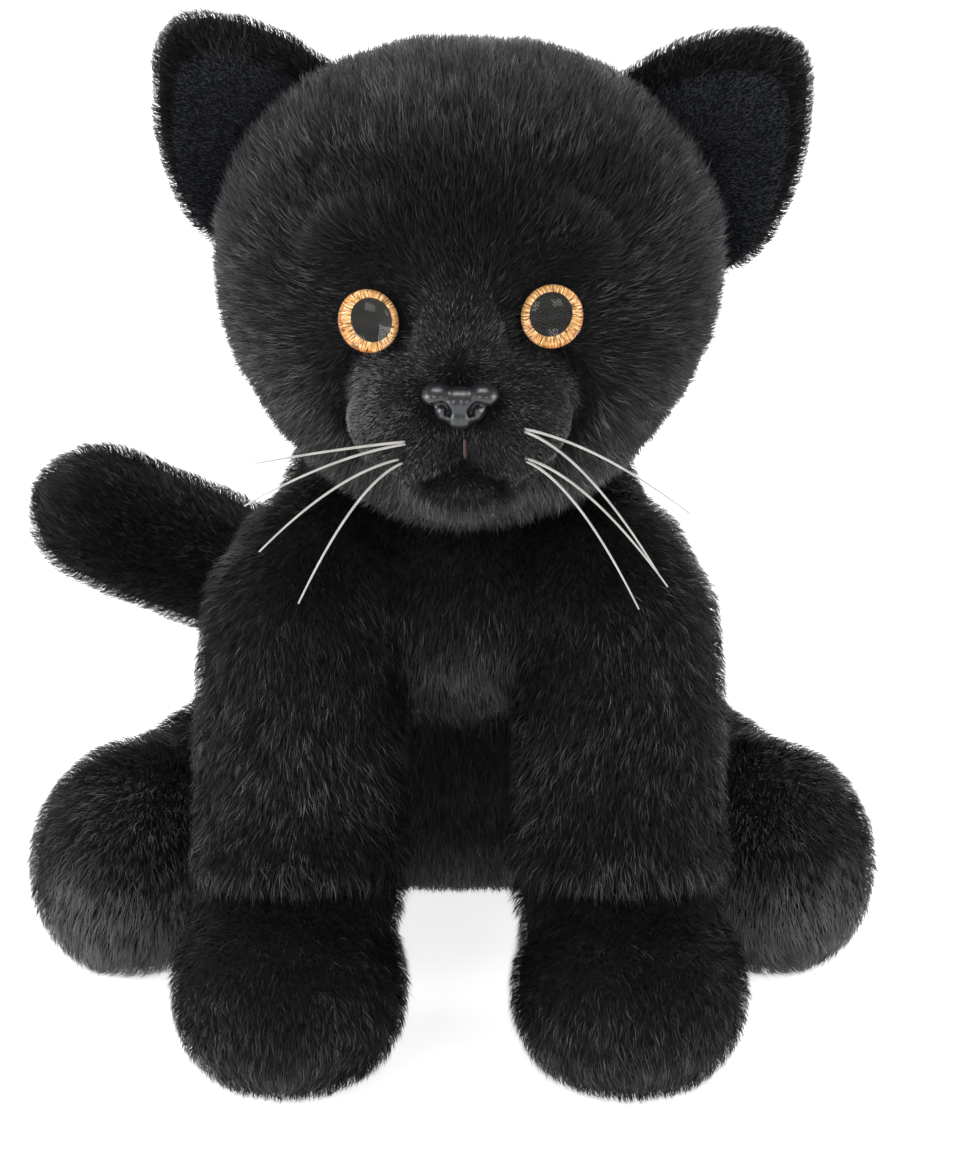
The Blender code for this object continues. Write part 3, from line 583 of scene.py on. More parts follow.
def grow(name, skin, nap, length, density=2.3, width=0.17, chances=COLOUR_SHARES, keep=None, looks=PILE,
         seed=1, wander=1.0, lift=0.0, tone=None, warm=0.02):
    """Covers a skin with pile. nap gives the way it lies, length its length, and keep which roots grow."""
    points, normal = roots_on(skin, density, seed)
    if keep is not None:
        mask = keep(points, normal)
        points, normal = points[mask], normal[mask]
    rng = np.random.default_rng(seed + 500)
    way = nap(points, normal)
    way = unit(way - (way * normal).sum(1, keepdims=True) * normal)
    turn = 22 * NOISE_TURN(points, 13.0) + 9 * NOISE_TURN(points + 50, 4.5) + rng.normal(0, 9, len(points))
    turn = np.radians(turn * wander)[:, None]
    way = np.cos(turn) * way + np.sin(turn) * np.cross(normal, way)
    rise = 10 * NOISE_LIFT(points, 7.0) + 9 * NOISE_LIFT(points + 80, 2.6) + rng.normal(0, 8, len(points))
    reach = length(points) if callable(length) else np.full(len(points), float(length))
    reach = reach * (1 + 0.10 * NOISE_SIZE(points, 5.0) + rng.normal(0, 0.1, len(points)))
    thick = width * rng.uniform(0.7, 1.3, len(points)) * np.clip(reach / 4.5, 0.9, 1.0)
    rise = rise - 22 * clip01((3.0 - reach) / 1.3)
    shade = shades(points, rng, chances, 2.6, tone, warm)
    return strands(name, points, normal, way, reach, thick, rise + lift, shade, looks, seed + 900)


# The body, legs and tail are sewn from one cloth, so their skins are drawn as one and then parted at
# the joints.

def haunch_line(side):
    hip, foot = sided(HIP, side), HIND_FOOT[side]
    way = foot - hip
    levels = ((0.0, HIP_RADIUS), (0.4, HIP_RADIUS), (0.7, 24.0), (0.85, 19.0))
    return [(hip + way * share, radius) for share, radius in levels]


def over_wrist(p):
    """How far points are above the seam of front leg and paw, which falls towards the back."""
    return p[:, 2] - 48.5 + 0.12 * (p[:, 1] - 2.0)


def wrist_seams(p, n):
    """The seam pulls the skin in where the front legs meet their paws."""
    depth = 2.2 * bell(over_wrist(p) / 2.2) - 0.8 * bell((over_wrist(p) - 5.0) / 4.0)
    near = (np.abs(np.abs(p[:, 0]) - FRONT_PAW[0][0]) < 34) & (p[:, 1] < 46)
    return -n * (depth * near)[:, None]


def body_skins():
    shapes, kinds = [], []

    def include(kind, *items):
        shapes.append(merged(*items))
        kinds.append(kind)

    neck = egg(NECK + (0, 2, -4), (27, 24, 26))
    chest = egg(np.array([0.0, 62.0, 112.0]), (45, 31, 34))
    include("torso", column(TORSO_LEVELS, 0.0, 1.6), neck, chest)
    for side in SIDES:
        middle = sided(SHOULDER, side)
        leg = column(FRONT_LEG_LEVELS, middle[0], 1.6)
        ball = egg(middle, [SHOULDER_RADIUS - 2.0] * 3)
        cape = egg(middle + sided((-7, 8, 8), side), (24, 24, 24))
        include("leg_" + side, leg, ball, cape)
        include("paw_" + side, egg(sided(FRONT_PAW[0], side), FRONT_PAW[1] - 1.6, power=2.25, floor=0.9))
        include("haunch_" + side, capsule(haunch_line(side), 1.6, floor=3.5))
        yaw = HIND_FOOT_YAW if side == "left" else -HIND_FOOT_YAW
        include("foot_" + side, egg(HIND_FOOT[side], HIND_FOOT_HALF - 1.6, power=2.15, yaw=yaw, floor=0.9))
    include("tail", capsule(TAIL_LINE, 1.6))
    whole = remeshed(make_object("whole_body", *merged(*shapes)), 3.6)
    relaxed(whole, 5)
    stuffed(whole, 3.0, 2.0)
    relaxed(whole, 1)
    whole = subdivided(whole)
    points = coords(whole)
    points += wrist_seams(points, normals(whole))
    points[:, 2] = np.maximum(points[:, 2], 0.7)
    set_coords(whole, points)
    kind = np.array(kinds)[nearest_label(points, shapes)]
    return whole, points, kind


def ramp_share(points, start, end):
    d = np.array(end) - start
    return (points - start) @ d / (d @ d)


BENDS = {"tail": ((-20.0, 168.0, 59.0), (-46.0, 176.0, 70.0))}
for _side in SIDES:
    _s = 1 if _side == "left" else -1
    BENDS["front_leg_" + _side] = ((_s * 38.8, 52.0, 96.0), (_s * 38.8, 31.0, 62.0))
    _hip, _foot = sided(HIP, _side), HIND_FOOT[_side]
    BENDS["hind_leg_" + _side] = (tuple(_hip + (_foot - _hip) * 0.05), tuple(_hip + (_foot - _hip) * 0.6))
KINDS = {"tail": ("tail",)}
for _side in SIDES:
    KINDS["front_leg_" + _side] = ("leg_" + _side, "paw_" + _side)
    KINDS["hind_leg_" + _side] = ("haunch_" + _side, "foot_" + _side)


def part_skins():
    whole, points, kind = body_skins()
    faces = [tuple(f.vertices) for f in whole.data.polygons]
    left_over = np.ones(len(faces), bool)
    skins = {}
    for name, (start, end) in BENDS.items():
        own = np.isin(kind, KINDS[name]) & (ramp_share(points, np.array(start), np.array(end)) > 0)
        chosen = np.array([own[list(f)].all() for f in faces])
        left_over &= ~chosen
        skins[name] = part_of(whole, name + "_skin", chosen)
    skins["torso"] = part_of(whole, "torso_skin", left_over)
    bpy.data.objects.remove(whole)
    return skins


def tail_way(p, n):
    line = np.array([q for q, _ in TAIL_LINE])
    which = np.argmin(((p[:, None] - line[None]) ** 2).sum(2), 1)
    return unit(np.gradient(line, axis=0))[which]


def inside_head(p, grow_by=-4.0):
    q = about_neck(p, -HEAD_TURN) - HEAD
    half = HEAD_HALF + grow_by
    up = q[:, 2] / half[2]
    return (q[:, 0] / (half[0] * (1 + HEAD_TAPER * up))) ** 2 + (q[:, 1] / half[1]) ** 2 + up ** 2 < 1


def leg_nap(side):
    wrist = sided(WRIST, side)

    def nap(p, n):
        down = np.array([0.0, -0.25, -1.0])
        from_wrist = unit(p - wrist - (0, 6, 6))
        share = clip01((44.0 - p[:, 2]) / 8.0)[:, None]
        return down * (1 - share) + from_wrist * share

    return nap


def hind_nap(side):
    hip, foot = sided(HIP, side), HIND_FOOT[side]
    way = unit(foot - hip)

    def nap(p, n):
        along = (p - hip) @ way / np.linalg.norm(foot - hip)
        share = clip01((along - 0.45) / 0.25)[:, None]
        on_leg = way * 0.8 + np.array([0, 0, -0.7])
        on_foot = unit(p - (foot - way * 14 + (0, 0, 16))) + np.array([0, 0, -0.35])
        return on_leg * (1 - share) + on_foot * share

    return nap


def torso_nap(p, n):
    down = np.array([0.0, 0.0, -1.0])
    return down + np.stack([p[:, 0] * 0.006, np.where(p[:, 1] > 90, 0.35, -0.1), np.zeros(len(p))], 1)


# Painted light and shade in the fibres' colour: a painted sheen across the middle of the chest, painted shade
# over the front half, and the sides lighter as painted rim light.
def torso_tone(p):
    chest = 1.15 * np.exp(-((p[:, 2] - 95) / 13) ** 2 - (p[:, 0] / 30) ** 2) * (p[:, 1] < 75)
    tone = chest - 0.20 * (p[:, 1] < 90)
    return tone + 0.15 * clip01((np.abs(p[:, 0]) - 38) / 10)


def torso_keep(p, n):
    """No pile inside the head, nor under the seat."""
    return ~inside_head(p) & ((p[:, 2] > 9) | (n[:, 2] > -0.35))


def torso_length(p):
    reach = 5.2 - 2.6 * clip01((20 - p[:, 2]) / 14) * (p[:, 1] < 160)
    return np.where(inside_head(p, 5.0), 2.8, reach)


# Painted light and shade in the fibres' colour: lighter at mid-leg and near the floor as painted light,
# painted shade just under the wrist seam and a painted highlight on the pile just above it.
def leg_tone(p):
    far = over_wrist(p)
    tone = 0.26 * bell((p[:, 2] - 74) / 16) + 1.0 * bell((p[:, 2] - 2) / 16) - 0.08
    return tone - 0.30 * bell((far + 4) / 4) + 0.16 * bell((far - 5) / 4)


# Painted light in the fibres' colour: the hind legs lighter towards the floor, as if lit from below.
def hind_tone(p):
    return 1.25 * clip01((60 - p[:, 2]) / 34) - 0.14


def leg_length(p):
    """Longer where the leg's pile hangs over the wrist seam."""
    return 5.0 + 1.8 * bell((over_wrist(p) - 3.0) / 3.5) - 0.6 * (p[:, 2] < 38)


def dress(name, skin, nodes, nap, length, seed, bend=None, body=None, fill=0.75, **more):
    """Gives a skin its backing and its pile; fixes both to their body unless a bend is given, when their
    placing is only baked into their meshes.
    """
    skin.data.materials.append(BACKING)
    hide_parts(*nodes)
    hairs = grow(name + "_pile", skin, nap, length, seed=seed, **more)
    for ob in (skin, *hairs):
        if bend:
            to_world(bend[0])
            to_world(bend[1])
            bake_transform(ob)
        else:
            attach(ob, body)
    return hairs


def build_body():
    skins = part_skins()
    nodes = ["body_cover", "body_filling", "pellet_bag"]
    dress("torso", skins["torso"], nodes, torso_nap, torso_length, 21, body="torso", keep=torso_keep,
          tone=torso_tone)
    for k, side in enumerate(SIDES):
        leg, hind = "front_leg_" + side, "hind_leg_" + side
        nodes = [f"front_{part}_{side}_{layer}" for part in ("leg", "paw") for layer in ("cover", "filling")]
        dress(leg, skins[leg], nodes, leg_nap(side), leg_length, 31 + k, BENDS[leg], "torso", tone=leg_tone)
        nodes = [f"hind_{part}_{side}_{layer}" for part in ("leg", "foot") for layer in ("cover", "filling")]
        dress(hind, skins[hind], nodes, hind_nap(side), 5.0, 41 + k, BENDS[hind], "torso", tone=hind_tone)
    dress("tail", skins["tail"], ["tail_cover", "tail_filling"], tail_way, 5.4, 51, BENDS["tail"], "torso",
          chances=(0.62, 0.30, 0.06, 0.02, 0.0), warm=0.05)
    neck = make_object("neck_skin", *egg(NECK, [NECK_RADIUS - 1.0] * 3))
    dress("neck", smooth(neck), ["neck_cover", "neck_filling"], torso_nap, 5.0, 61, body="neck", density=0.4)


# Head.

def eye_place(side):
    sign = 1 if side == "left" else -1
    x, z = HEAD[0] + sign * EYE_OFFSET, EYE_HEIGHT[side]
    a, b, c = HEAD_HALF
    up = (z - HEAD[2]) / c
    across = sign * EYE_OFFSET / (a * (1 + HEAD_TAPER * up))
    y = HEAD[1] - b * math.sqrt(1 - across ** 2 - up ** 2)
    way = unit(np.array([across / a, (y - HEAD[1]) / b ** 2, up / c]))
    return np.array([x, y, z]), way


EYES = {side: eye_place(side) for side in SIDES}
NOSE_AT = NOSE + (HEAD[0] + 0.7, 0, -1.0)


def muzzle_share(q):
    """Below 1 on the short-piled muzzle, seen from the front and without the head's turn."""
    x, z = q[:, 0] - HEAD[0], q[:, 2]
    mound = np.hypot(x / 27.5, (z - 174.5) / 17.5) + 10.0 * (q[:, 1] > 8)
    bridge = np.hypot(x / 11.0, (z - 188.0) / 17.0) + 10.0 * (q[:, 1] > 8)
    return np.minimum(mound, bridge)


def muzzle_edge(q):
    """1 along the sides of the muzzle, where the short pile meets the long, fading away above and below."""
    x, z = q[:, 0] - HEAD[0], q[:, 2]
    mound = np.hypot(x / 27.5, (z - 174.5) / 17.5) + 10.0 * (q[:, 1] > 8)
    return bell((mound - 1.05) / 0.07) * clip01((np.abs(x) - 11) / 9)


def mouth_line(count=40):
    """The mouth seen from the front, from one corner up to the middle and down to the other."""
    x = np.linspace(-1, 1, count)
    return np.stack([HEAD[0] + 8.0 * x + 1.6, 163.6 - 5.0 * np.abs(x) ** 0.75], 1)


def from_mouth(q):
    """How far points are from the mouth line, seen from the front."""
    line = mouth_line()
    far = np.min(np.hypot(q[:, None, 0] - line[None, :, 0], q[:, None, 2] - line[None, :, 1]), axis=1)
    return far + 10.0 * (q[:, 1] > 0)


def head_skin():
    at = np.array([HEAD[0], 0.0, 0.0])
    shapes = [egg(HEAD, HEAD_HALF - 1.2, taper=HEAD_TAPER, segments=56, rows=36)]
    shapes.append(egg(at + (0, -3.5, 174.5), (26.0, 15.0, 16.0), power=2.2))
    for sign in (-1, 1):
        shapes.append(egg(at + (sign * 12.2, -12.0, 170.6), (14.6, 14.0, 12.8)))
        shapes.append(egg(at + (sign * 18.0, -0.6, 211.0), (18.0, 7.4, 10.0)))
    shapes.append(egg(at + (0, -6.0, 189.0), (13.0, 15.0, 17.0)))
    shapes.append(egg(at + (1.8, -14.4, 157.4), (14.0, 10.8, 6.4)))
    head = remeshed(make_object("head_skin", *merged(*shapes)), 2.2)
    relaxed(head, 2)
    stuffed(head, 3.0, 1.0)
    head = subdivided(head)
    p, n = coords(head), normals(head)
    for point, _ in EYES.values():
        far = np.linalg.norm(p - point, axis=1)
        p -= n * (1.9 * bell(far / 9.5))[:, None]
    p -= n * (2.0 * muzzle_edge(p))[:, None]
    far = from_mouth(p)
    p += np.array([0, 1.0, 0]) * (3.2 * bell(far / 1.35))[:, None]
    on_lip = (p[:, 1] < -10) & (p[:, 2] > 163) & (p[:, 2] < 177)
    middle = bell((p[:, 0] - HEAD[0] - 1.6) / 1.1) * on_lip
    p += np.array([0, 1.0, 0]) * (0.9 * middle)[:, None]
    far = np.linalg.norm((p - NOSE_AT) / (10.0, 9.0, 7.0), axis=1)
    p += np.array([0, 3.0, 0]) * bell(far)[:, None]
    set_coords(head, about_neck(p))
    return smooth(head)


def head_nap(p, n):
    q = about_neck(p, -HEAD_TURN)
    from_nose = unit(q - (HEAD[0], -24.0, 184.0))
    up_brow = clip01((q[:, 2] - 196) / 40)[:, None] * np.array([0, 0.4, 0.5])
    hang = clip01((185 - q[:, 2]) / 30)[:, None] * np.array([0, 0, -0.6])
    return from_nose + up_brow + hang


def head_length(p):
    q = about_neck(p, -HEAD_TURN)
    reach = 5.4 + 1.0 * clip01((160 - q[:, 2]) / 12)
    share = muzzle_share(q)
    reach = np.where(share < 1, 1.7, np.minimum(reach, 2.4 + 10.0 * (share - 1)))
    for point, _ in EYES.values():
        far = np.linalg.norm(q - point, axis=1)
        reach = np.minimum(reach, 1.8 + 0.30 * np.maximum(far - EYE_RADIUS, 0))
    return reach


# Painted shade and painted light on the face, as darker and lighter patches: strength, middle across and up,
# and reach across and up.
FOREHEAD_SHADE = (-0.26, 0, 218, 42, 13)
FACE_LIGHT_AND_SHADE = [
    (-0.30, -9, 213, 8, 10), (-0.20, -21, 207, 12, 6), (-0.30, 9, 213, 8, 10), (-0.20, 21, 207, 12, 6),
    (-0.25, 0, 188, 14, 3.5), (0.30, 0, 199, 11, 9), (0.80, -23, 177, 9, 12), (0.25, 22, 175, 7, 10),
]


def patch(x, z, strength, across, up, wide, high):
    return strength * np.exp(-((x - across) / wide) ** 2 - ((z - up) / high) ** 2)


# Painted light and shade in the fibres' colour: the crown and outer cheeks lighter, the forehead patches as
# painted shade and the face patches as painted light, the muzzle lighter with painted shade along its edge
# and in the mouth, and the underside of the jaw and the chin's rim lighter.
def head_tone(p):
    q = about_neck(p, -HEAD_TURN)
    x, z = q[:, 0] - HEAD[0], q[:, 2]
    tone = 0.85 * clip01((z - 228) / 15) + 0.30 * clip01((np.abs(x) - 34) / 20)
    tone += patch(x, z, *FOREHEAD_SHADE)
    tone += 0.34 * (muzzle_share(q) < 1) - 0.5 * muzzle_edge(q)
    for place in FACE_LIGHT_AND_SHADE:
        tone += patch(x, z, *place)
    tone += 0.50 * clip01((158 - z) / 8)
    tone -= 0.3 * bell(from_mouth(q) / 1.8)
    chin_edge = bell((np.hypot((x - 1.8) / 15.0, (z - 159.5) / 7.5) - 1) / 0.16)
    return tone + 0.4 * chin_edge * (z < 159) * (q[:, 1] < 0)


def head_keep(p, n):
    q = about_neck(p, -HEAD_TURN)
    ok = np.ones(len(q), bool)
    for point, way in EYES.values():
        d = q - point
        d = d - (d @ way)[:, None] * way
        ok &= ~((np.linalg.norm(d, axis=1) < EYE_RADIUS + 0.2) & (np.linalg.norm(q - point, axis=1) < 14))
    d = (q - NOSE_AT) / (8.0, 9.0, 5.2)
    ok &= np.linalg.norm(d, axis=1) > 1
    ok &= from_mouth(q) > 0.7
    below = (q[:, 2] < 150) & (np.hypot(q[:, 0] - NECK[0], q[:, 1] - NECK[1]) < 24)
    return ok & ~below


def muzzle_keep(p, n):
    q = about_neck(p, -HEAD_TURN)
    return head_keep(p, n) & (muzzle_share(q) < 1) & (q[:, 2] < 196)


def disc_profile(point, way, profile, segments=48):
    """A turned shape: profile is (radius, height) pairs, its axis at point along way."""
    across = unit(np.cross(way, (0, 0, 1) if abs(way[2]) < 0.9 else (0, 1, 0)))
    up = np.cross(across, way)
    rings = [ring_round(point + way * h, r, across, up, segments) for r, h in profile]
    return rings_shape(rings, point + way * profile[0][1], point + way * profile[-1][1])


PUPIL_SHIFT = {"right": (1.2, 0.1), "left": (-0.7, 0.5)}
PUPIL_SHARE = 0.70


def iris_material(side):
    """Amber with brown rays round a black pupil, by distance from the eye's axis."""
    mat, tree, shader = material(f"iris_{side}", (0.6, 0.35, 0.1), 0.35)
    where = tree.nodes.new("ShaderNodeTexCoord")
    split = tree.nodes.new("ShaderNodeSeparateXYZ")
    tree.links.new(where.outputs["Object"], split.inputs[0])

    def calc(kind, a, b=None):
        node = tree.nodes.new("ShaderNodeMath")
        node.operation = kind
        for k, value in enumerate((a, b)):
            if value is None:
                continue
            if isinstance(value, (int, float)):
                node.inputs[k].default_value = value
            else:
                tree.links.new(value, node.inputs[k])
        return node.outputs[0]

    across, up = PUPIL_SHIFT[side]
    x, y = calc("SUBTRACT", split.outputs[0], across * MM), calc("SUBTRACT", split.outputs[1], up * MM)
    radius = calc("SQRT", calc("ADD", calc("MULTIPLY", x, x), calc("MULTIPLY", y, y)))
    share = calc("DIVIDE", radius, EYE_RADIUS * MM)
    angle = calc("ARCTAN2", y, x)
    ray = tree.nodes.new("ShaderNodeCombineXYZ")
    tree.links.new(calc("MULTIPLY", angle, 7.0), ray.inputs[0])
    tree.links.new(calc("MULTIPLY", share, 1.3), ray.inputs[1])
    streak = tree.nodes.new("ShaderNodeTexNoise")
    streak.inputs["Scale"].default_value = 2.6
    streak.inputs["Detail"].default_value = 5.0
    streak.inputs["Roughness"].default_value = 0.62
    tree.links.new(ray.outputs[0], streak.inputs["Vector"])
    colour = ramp(tree, [(0.40, (0.13, 0.05, 0.012)), (0.47, (0.46, 0.21, 0.06)), (0.54, (0.74, 0.42, 0.15)),
                         (0.64, (0.93, 0.74, 0.44))])
    shader.inputs["Specular IOR Level"].default_value = 0.05
    tree.links.new(streak.outputs["Fac"], colour.inputs["Fac"])
    zone = ramp(tree, [(PUPIL_SHARE, (0.004, 0.004, 0.004)), (PUPIL_SHARE + 0.02, (1, 1, 1)),
                       (0.97, (1, 0.95, 0.9)), (1.0, (0.75, 0.55, 0.4))])
    tree.links.new(share, zone.inputs["Fac"])
    mix = tree.nodes.new("ShaderNodeMix")
    mix.data_type = "RGBA"
    mix.blend_type = "MULTIPLY"
    mix.inputs["Factor"].default_value = 1.0
    tree.links.new(colour.outputs["Color"], mix.inputs["A"])
    tree.links.new(zone.outputs["Color"], mix.inputs["B"])
    tree.links.new(mix.outputs["Result"], shader.inputs["Base Color"])
    return mat


def dome_material():
    """Clear plastic: see-through face on, a mirror at a glancing angle."""
    mat = bpy.data.materials.new("eye_dome_clear")
    mat.use_nodes = True
    tree = mat.node_tree
    tree.nodes.remove(tree.nodes["Principled BSDF"])
    clear = tree.nodes.new("ShaderNodeBsdfTransparent")
    gloss = tree.nodes.new("ShaderNodeBsdfGlossy")
    gloss.inputs["Roughness"].default_value = 0.03
    facing = tree.nodes.new("ShaderNodeLayerWeight")
    steep = tree.nodes.new("ShaderNodeMath")
    steep.operation = "POWER"
    steep.inputs[1].default_value = 4.0
    share = tree.nodes.new("ShaderNodeMath")
    share.operation = "MULTIPLY_ADD"
    share.inputs[1].default_value = 0.30
    share.inputs[2].default_value = 0.014
    mix = tree.nodes.new("ShaderNodeMixShader")
    tree.links.new(facing.outputs["Facing"], steep.inputs[0])
    tree.links.new(steep.outputs[0], share.inputs[0])
    tree.links.new(share.outputs[0], mix.inputs[0])
    tree.links.new(clear.outputs[0], mix.inputs[1])
    tree.links.new(gloss.outputs[0], mix.inputs[2])
    tree.links.new(mix.outputs[0], tree.nodes["Material Output"].inputs["Surface"])
    return mat


def build_eyes():
    glass = dome_material()
    for side in SIDES:
        point, way = EYES[side]
        point, way = about_neck(point), about_neck(NECK + way) - NECK
        r = EYE_RADIUS
        turn = Vector((0, 0, 1)).rotation_difference(Vector(way)).to_matrix()
        profile = [(r - 0.6, -1.0), (r - 0.1, -0.8), (r, -0.4), (r, 0.5), (r - 0.2, 0.85), (r * 0.96, 0.95),
                   (r * 0.8, 0.93), (r * 0.64, 0.9), (r * 0.6, 0.7), (r * 0.3, 0.62), (0.3, 0.6)]
        verts, faces = disc_profile(np.zeros(3), np.array([0.0, 0.0, 1.0]), profile)
        mesh = bpy.data.meshes.new(f"eye_{side}_iris")
        mesh.from_pydata([tuple(v * MM) for v in verts], [], faces)
        iris = placed(f"eye_{side}_iris_disc", mesh)
        iris.matrix_world = Matrix.Translation(to_world(point)) @ turn.to_4x4()
        mesh.materials.append(iris_material(side))
        smooth(iris)
        profile = [(r - 0.05, 1.06), (r + 0.02, 1.2)]
        for k in range(1, 15):
            a = math.pi / 2 * k / 15
            profile.append((r * math.cos(a) ** 0.8, 1.2 + 3.4 * math.sin(a) ** 1.15))
        dome = make_object(f"eye_{side}_dome", *disc_profile(point, way, profile))
        dome.data.materials.append(glass)
        outward_fixed(smooth(dome))
        for ob, node, name in ((iris, f"eye_{side}_iris", "eye_amber"),
                               (dome, f"eye_{side}_lens", "eye_clear")):
            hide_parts(node)
            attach(ob, "head")


def nose_object():
    at = NOSE_AT
    shapes = []
    for sign in (-1, 1):
        shapes.append(egg(at + (sign * 5.2, 0.4, 2.3), (3.7, 4.7, 2.6), segments=28, rows=18))
        shapes.append(egg(at + (sign * 3.4, 1.2, -0.8), (2.6, 4.2, 3.2), segments=28, rows=18))
    shapes.append(egg(at + (0, 0.2, 1.0), (5.2, 5.0, 3.2), segments=28, rows=18))
    shapes.append(egg(at + (0, 0.6, -2.2), (3.4, 4.9, 3.5), segments=28, rows=18))
    nose = remeshed(make_object("nose_tip", *merged(*shapes)), 0.4)
    relaxed(nose, 5)
    p = coords(nose)
    front = p[:, 1] < at[1] + 1
    dent = np.zeros(len(p))
    for sign in (-1, 1):
        for t in np.linspace(0, 1, 12):
            bend = math.radians(200 - 150 * t)
            x, z = 4.3 + 1.7 * math.cos(bend), -0.9 + 2.0 * math.sin(bend) * 0.9
            far = np.hypot(p[:, 0] - at[0] - sign * x, p[:, 2] - at[2] - z)
            dent = np.maximum(dent, bell(far / (0.62 + 0.2 * t)))
    p[:, 1] += 1.9 * dent * front
    groove = bell((p[:, 0] - at[0]) / 0.6) * front
    p[:, 1] += 0.45 * groove * clip01((at[2] + 3.5 - p[:, 2]) / 3.0)
    p[:, 1] += 0.5 * groove * bell((p[:, 2] - at[2] - 4.6) / 1.0)
    set_coords(nose, about_neck(p))
    relaxed(nose, 1)
    mat, tree, shader = material("nose_moulding", (0.008, 0.008, 0.01), 0.30)
    shader.inputs["Specular IOR Level"].default_value = 0.6
    grain = noise_node(tree, 1500.0, 3.0)
    coloured(tree, shader, grain, [(0.35, (0.0050, 0.0058, 0.0072)), (0.65, (0.0100, 0.0115, 0.0140))])
    bumped(tree, shader, grain.outputs["Fac"], 0.25, 0.0001)
    nose.data.materials.append(mat)
    smooth(nose)
    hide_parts("nose")
    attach(nose, "head")


def rod(points, radii, sides=8):
    """A smooth rod through points with a radius at each."""
    points = np.array(points, float)
    ways = unit(np.gradient(points, axis=0))
    rings = []
    for p, d, r in zip(points, ways, radii):
        across = unit(np.cross(d, (0.12, 1.0, 0.2)))
        rings.append(ring_round(p, r, across, np.cross(across, d), sides))
    return rings_shape(rings, points[0], points[-1])


def whisker_halves(tips, on_face, count=18):
    """The two ends of one bristle, from inside the muzzle to each tip."""
    tip_a, exit_a, exit_b, tip_b = [np.array(p, float) for p in tips]
    halves = []
    t = np.linspace(0, 1, count)[:, None]
    for tip, out, sign in ((tip_a, exit_a, -1), (tip_b, exit_b, 1)):
        start, end = on_face(out[0] - sign * 1.6, out[2] - 0.4, 0.0), tip + (HEAD[0], 0, 0)
        bend = start + (sign * 0.45 * abs(end[0] - start[0]), -5.0, 0.12 * (end[2] - start[2]))
        back = unit(start - bend)
        inside = [start + back * 3.6 + (0, 6.0, 0), start + back * 1.8 + (0, 2.6, 0)]
        halves.append(np.concatenate([inside, start * (1 - t) ** 2 + bend * 2 * t * (1 - t) + end * t * t]))
    return halves


def build_whiskers(on_face):
    mat, tree, shader = material("bristle", (0.36, 0.35, 0.32), 0.45)
    cloud = noise_node(tree, 220.0, 2.0)
    coloured(tree, shader, cloud, [(0.3, (0.31, 0.30, 0.28)), (0.7, (0.42, 0.41, 0.38))])
    for k, tips in enumerate(WHISKERS):
        ends = []
        for half in whisker_halves(tips, on_face):
            radii = 0.20 + 0.14 * (1 - np.linspace(0, 1, len(half)) ** 2.0)
            ends.append(rod(about_neck(half), radii))
        ob = make_object(f"whisker_{k + 1}_bristle", *merged(*ends))
        ob.data.materials.append(mat)
        smooth(ob)
        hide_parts(f"whisker_{k + 1}")
        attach(ob, "head")


def face_finder(skin):
    """A function that finds the front of the head's skin, in the frame that head pieces are drawn in."""
    points = about_neck(coords(skin), -HEAD_TURN)
    faces = [tuple(f.vertices) for f in skin.data.polygons]
    tree = BVHTree.FromPolygons([Vector(p) for p in points], faces)

    def on_face(x, z, lift):
        hit = tree.ray_cast(Vector((HEAD[0] + x, -90.0, z)), Vector((0, 1, 0)))[0]
        return np.array(hit) + (0, -lift, 0)

    return on_face


def build_stitch(on_face):
    upright = [on_face(1.6, z, 0.7) for z in np.linspace(164.6, 169.6, 8)]
    across = [on_face(x - HEAD[0], z, -0.5) for x, z in mouth_line(25)]
    shape = merged(rod(upright, [0.4] * len(upright)), rod(across, [0.16] * len(across)))
    ob = make_object("mouth_thread", *shape)
    set_coords(ob, about_neck(coords(ob)))
    mat, tree, shader = material("mouth_thread", (0.12, 0.06, 0.05), 0.8)
    twist = tree.nodes.new("ShaderNodeTexWave")
    twist.inputs["Scale"].default_value = 900.0
    where = tree.nodes.new("ShaderNodeTexCoord")
    tree.links.new(where.outputs["Object"], twist.inputs["Vector"])
    coloured(tree, shader, twist, [(0.0, (0.035, 0.02, 0.018)), (1.0, (0.16, 0.09, 0.075))])
    bumped(tree, shader, twist.outputs["Fac"], 0.6, 0.0003)
    ob.data.materials.append(mat)
    smooth(ob)
    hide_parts("mouth_stitch")
    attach(ob, "head")


def build_head():
    skin = head_skin()
    nodes = ["head_cover", "head_filling", "muzzle_cover", "muzzle_filling", "chin_cover"]
    dress("head", skin, nodes, head_nap, head_length, 71, body="head", keep=head_keep, density=2.6,
          tone=head_tone, lift=-2.0)
    for ob in grow("muzzle_pile", skin, head_nap, 1.7, density=4.6, width=0.2, keep=muzzle_keep, seed=171,
                   lift=-2.0, tone=head_tone):
        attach(ob, "head")
    build_eyes()
    nose_object()
    on_face = face_finder(skin)
    build_whiskers(on_face)
    build_stitch(on_face)
    mat, tree, shader = material("washer_white", (0.8, 0.8, 0.78), 0.45)
    grain = noise_node(tree, 600.0, 2.0)
    bumped(tree, shader, grain.outputs["Fac"], 0.2, 0.0001)
    for node in ("nose_washer", "eye_left_washer", "eye_right_washer"):
        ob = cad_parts[node]
        ob.data.materials.clear()
        ob.data.materials.append(mat)


# Ears.

def ear_frame(side):
    a, b = [np.array(p, float) for p in EAR_SEAM[side]]
    a[0] += HEAD[0]
    b[0] += HEAD[0]
    along = unit(b - a)
    out = np.array([-along[2], 0, along[0]]) if side == "left" else np.array([along[2], 0, -along[0]])
    out = unit(out - along * (out @ along))
    front = np.cross(out, along) if side == "right" else np.cross(along, out)
    return a, along, out, unit(front)


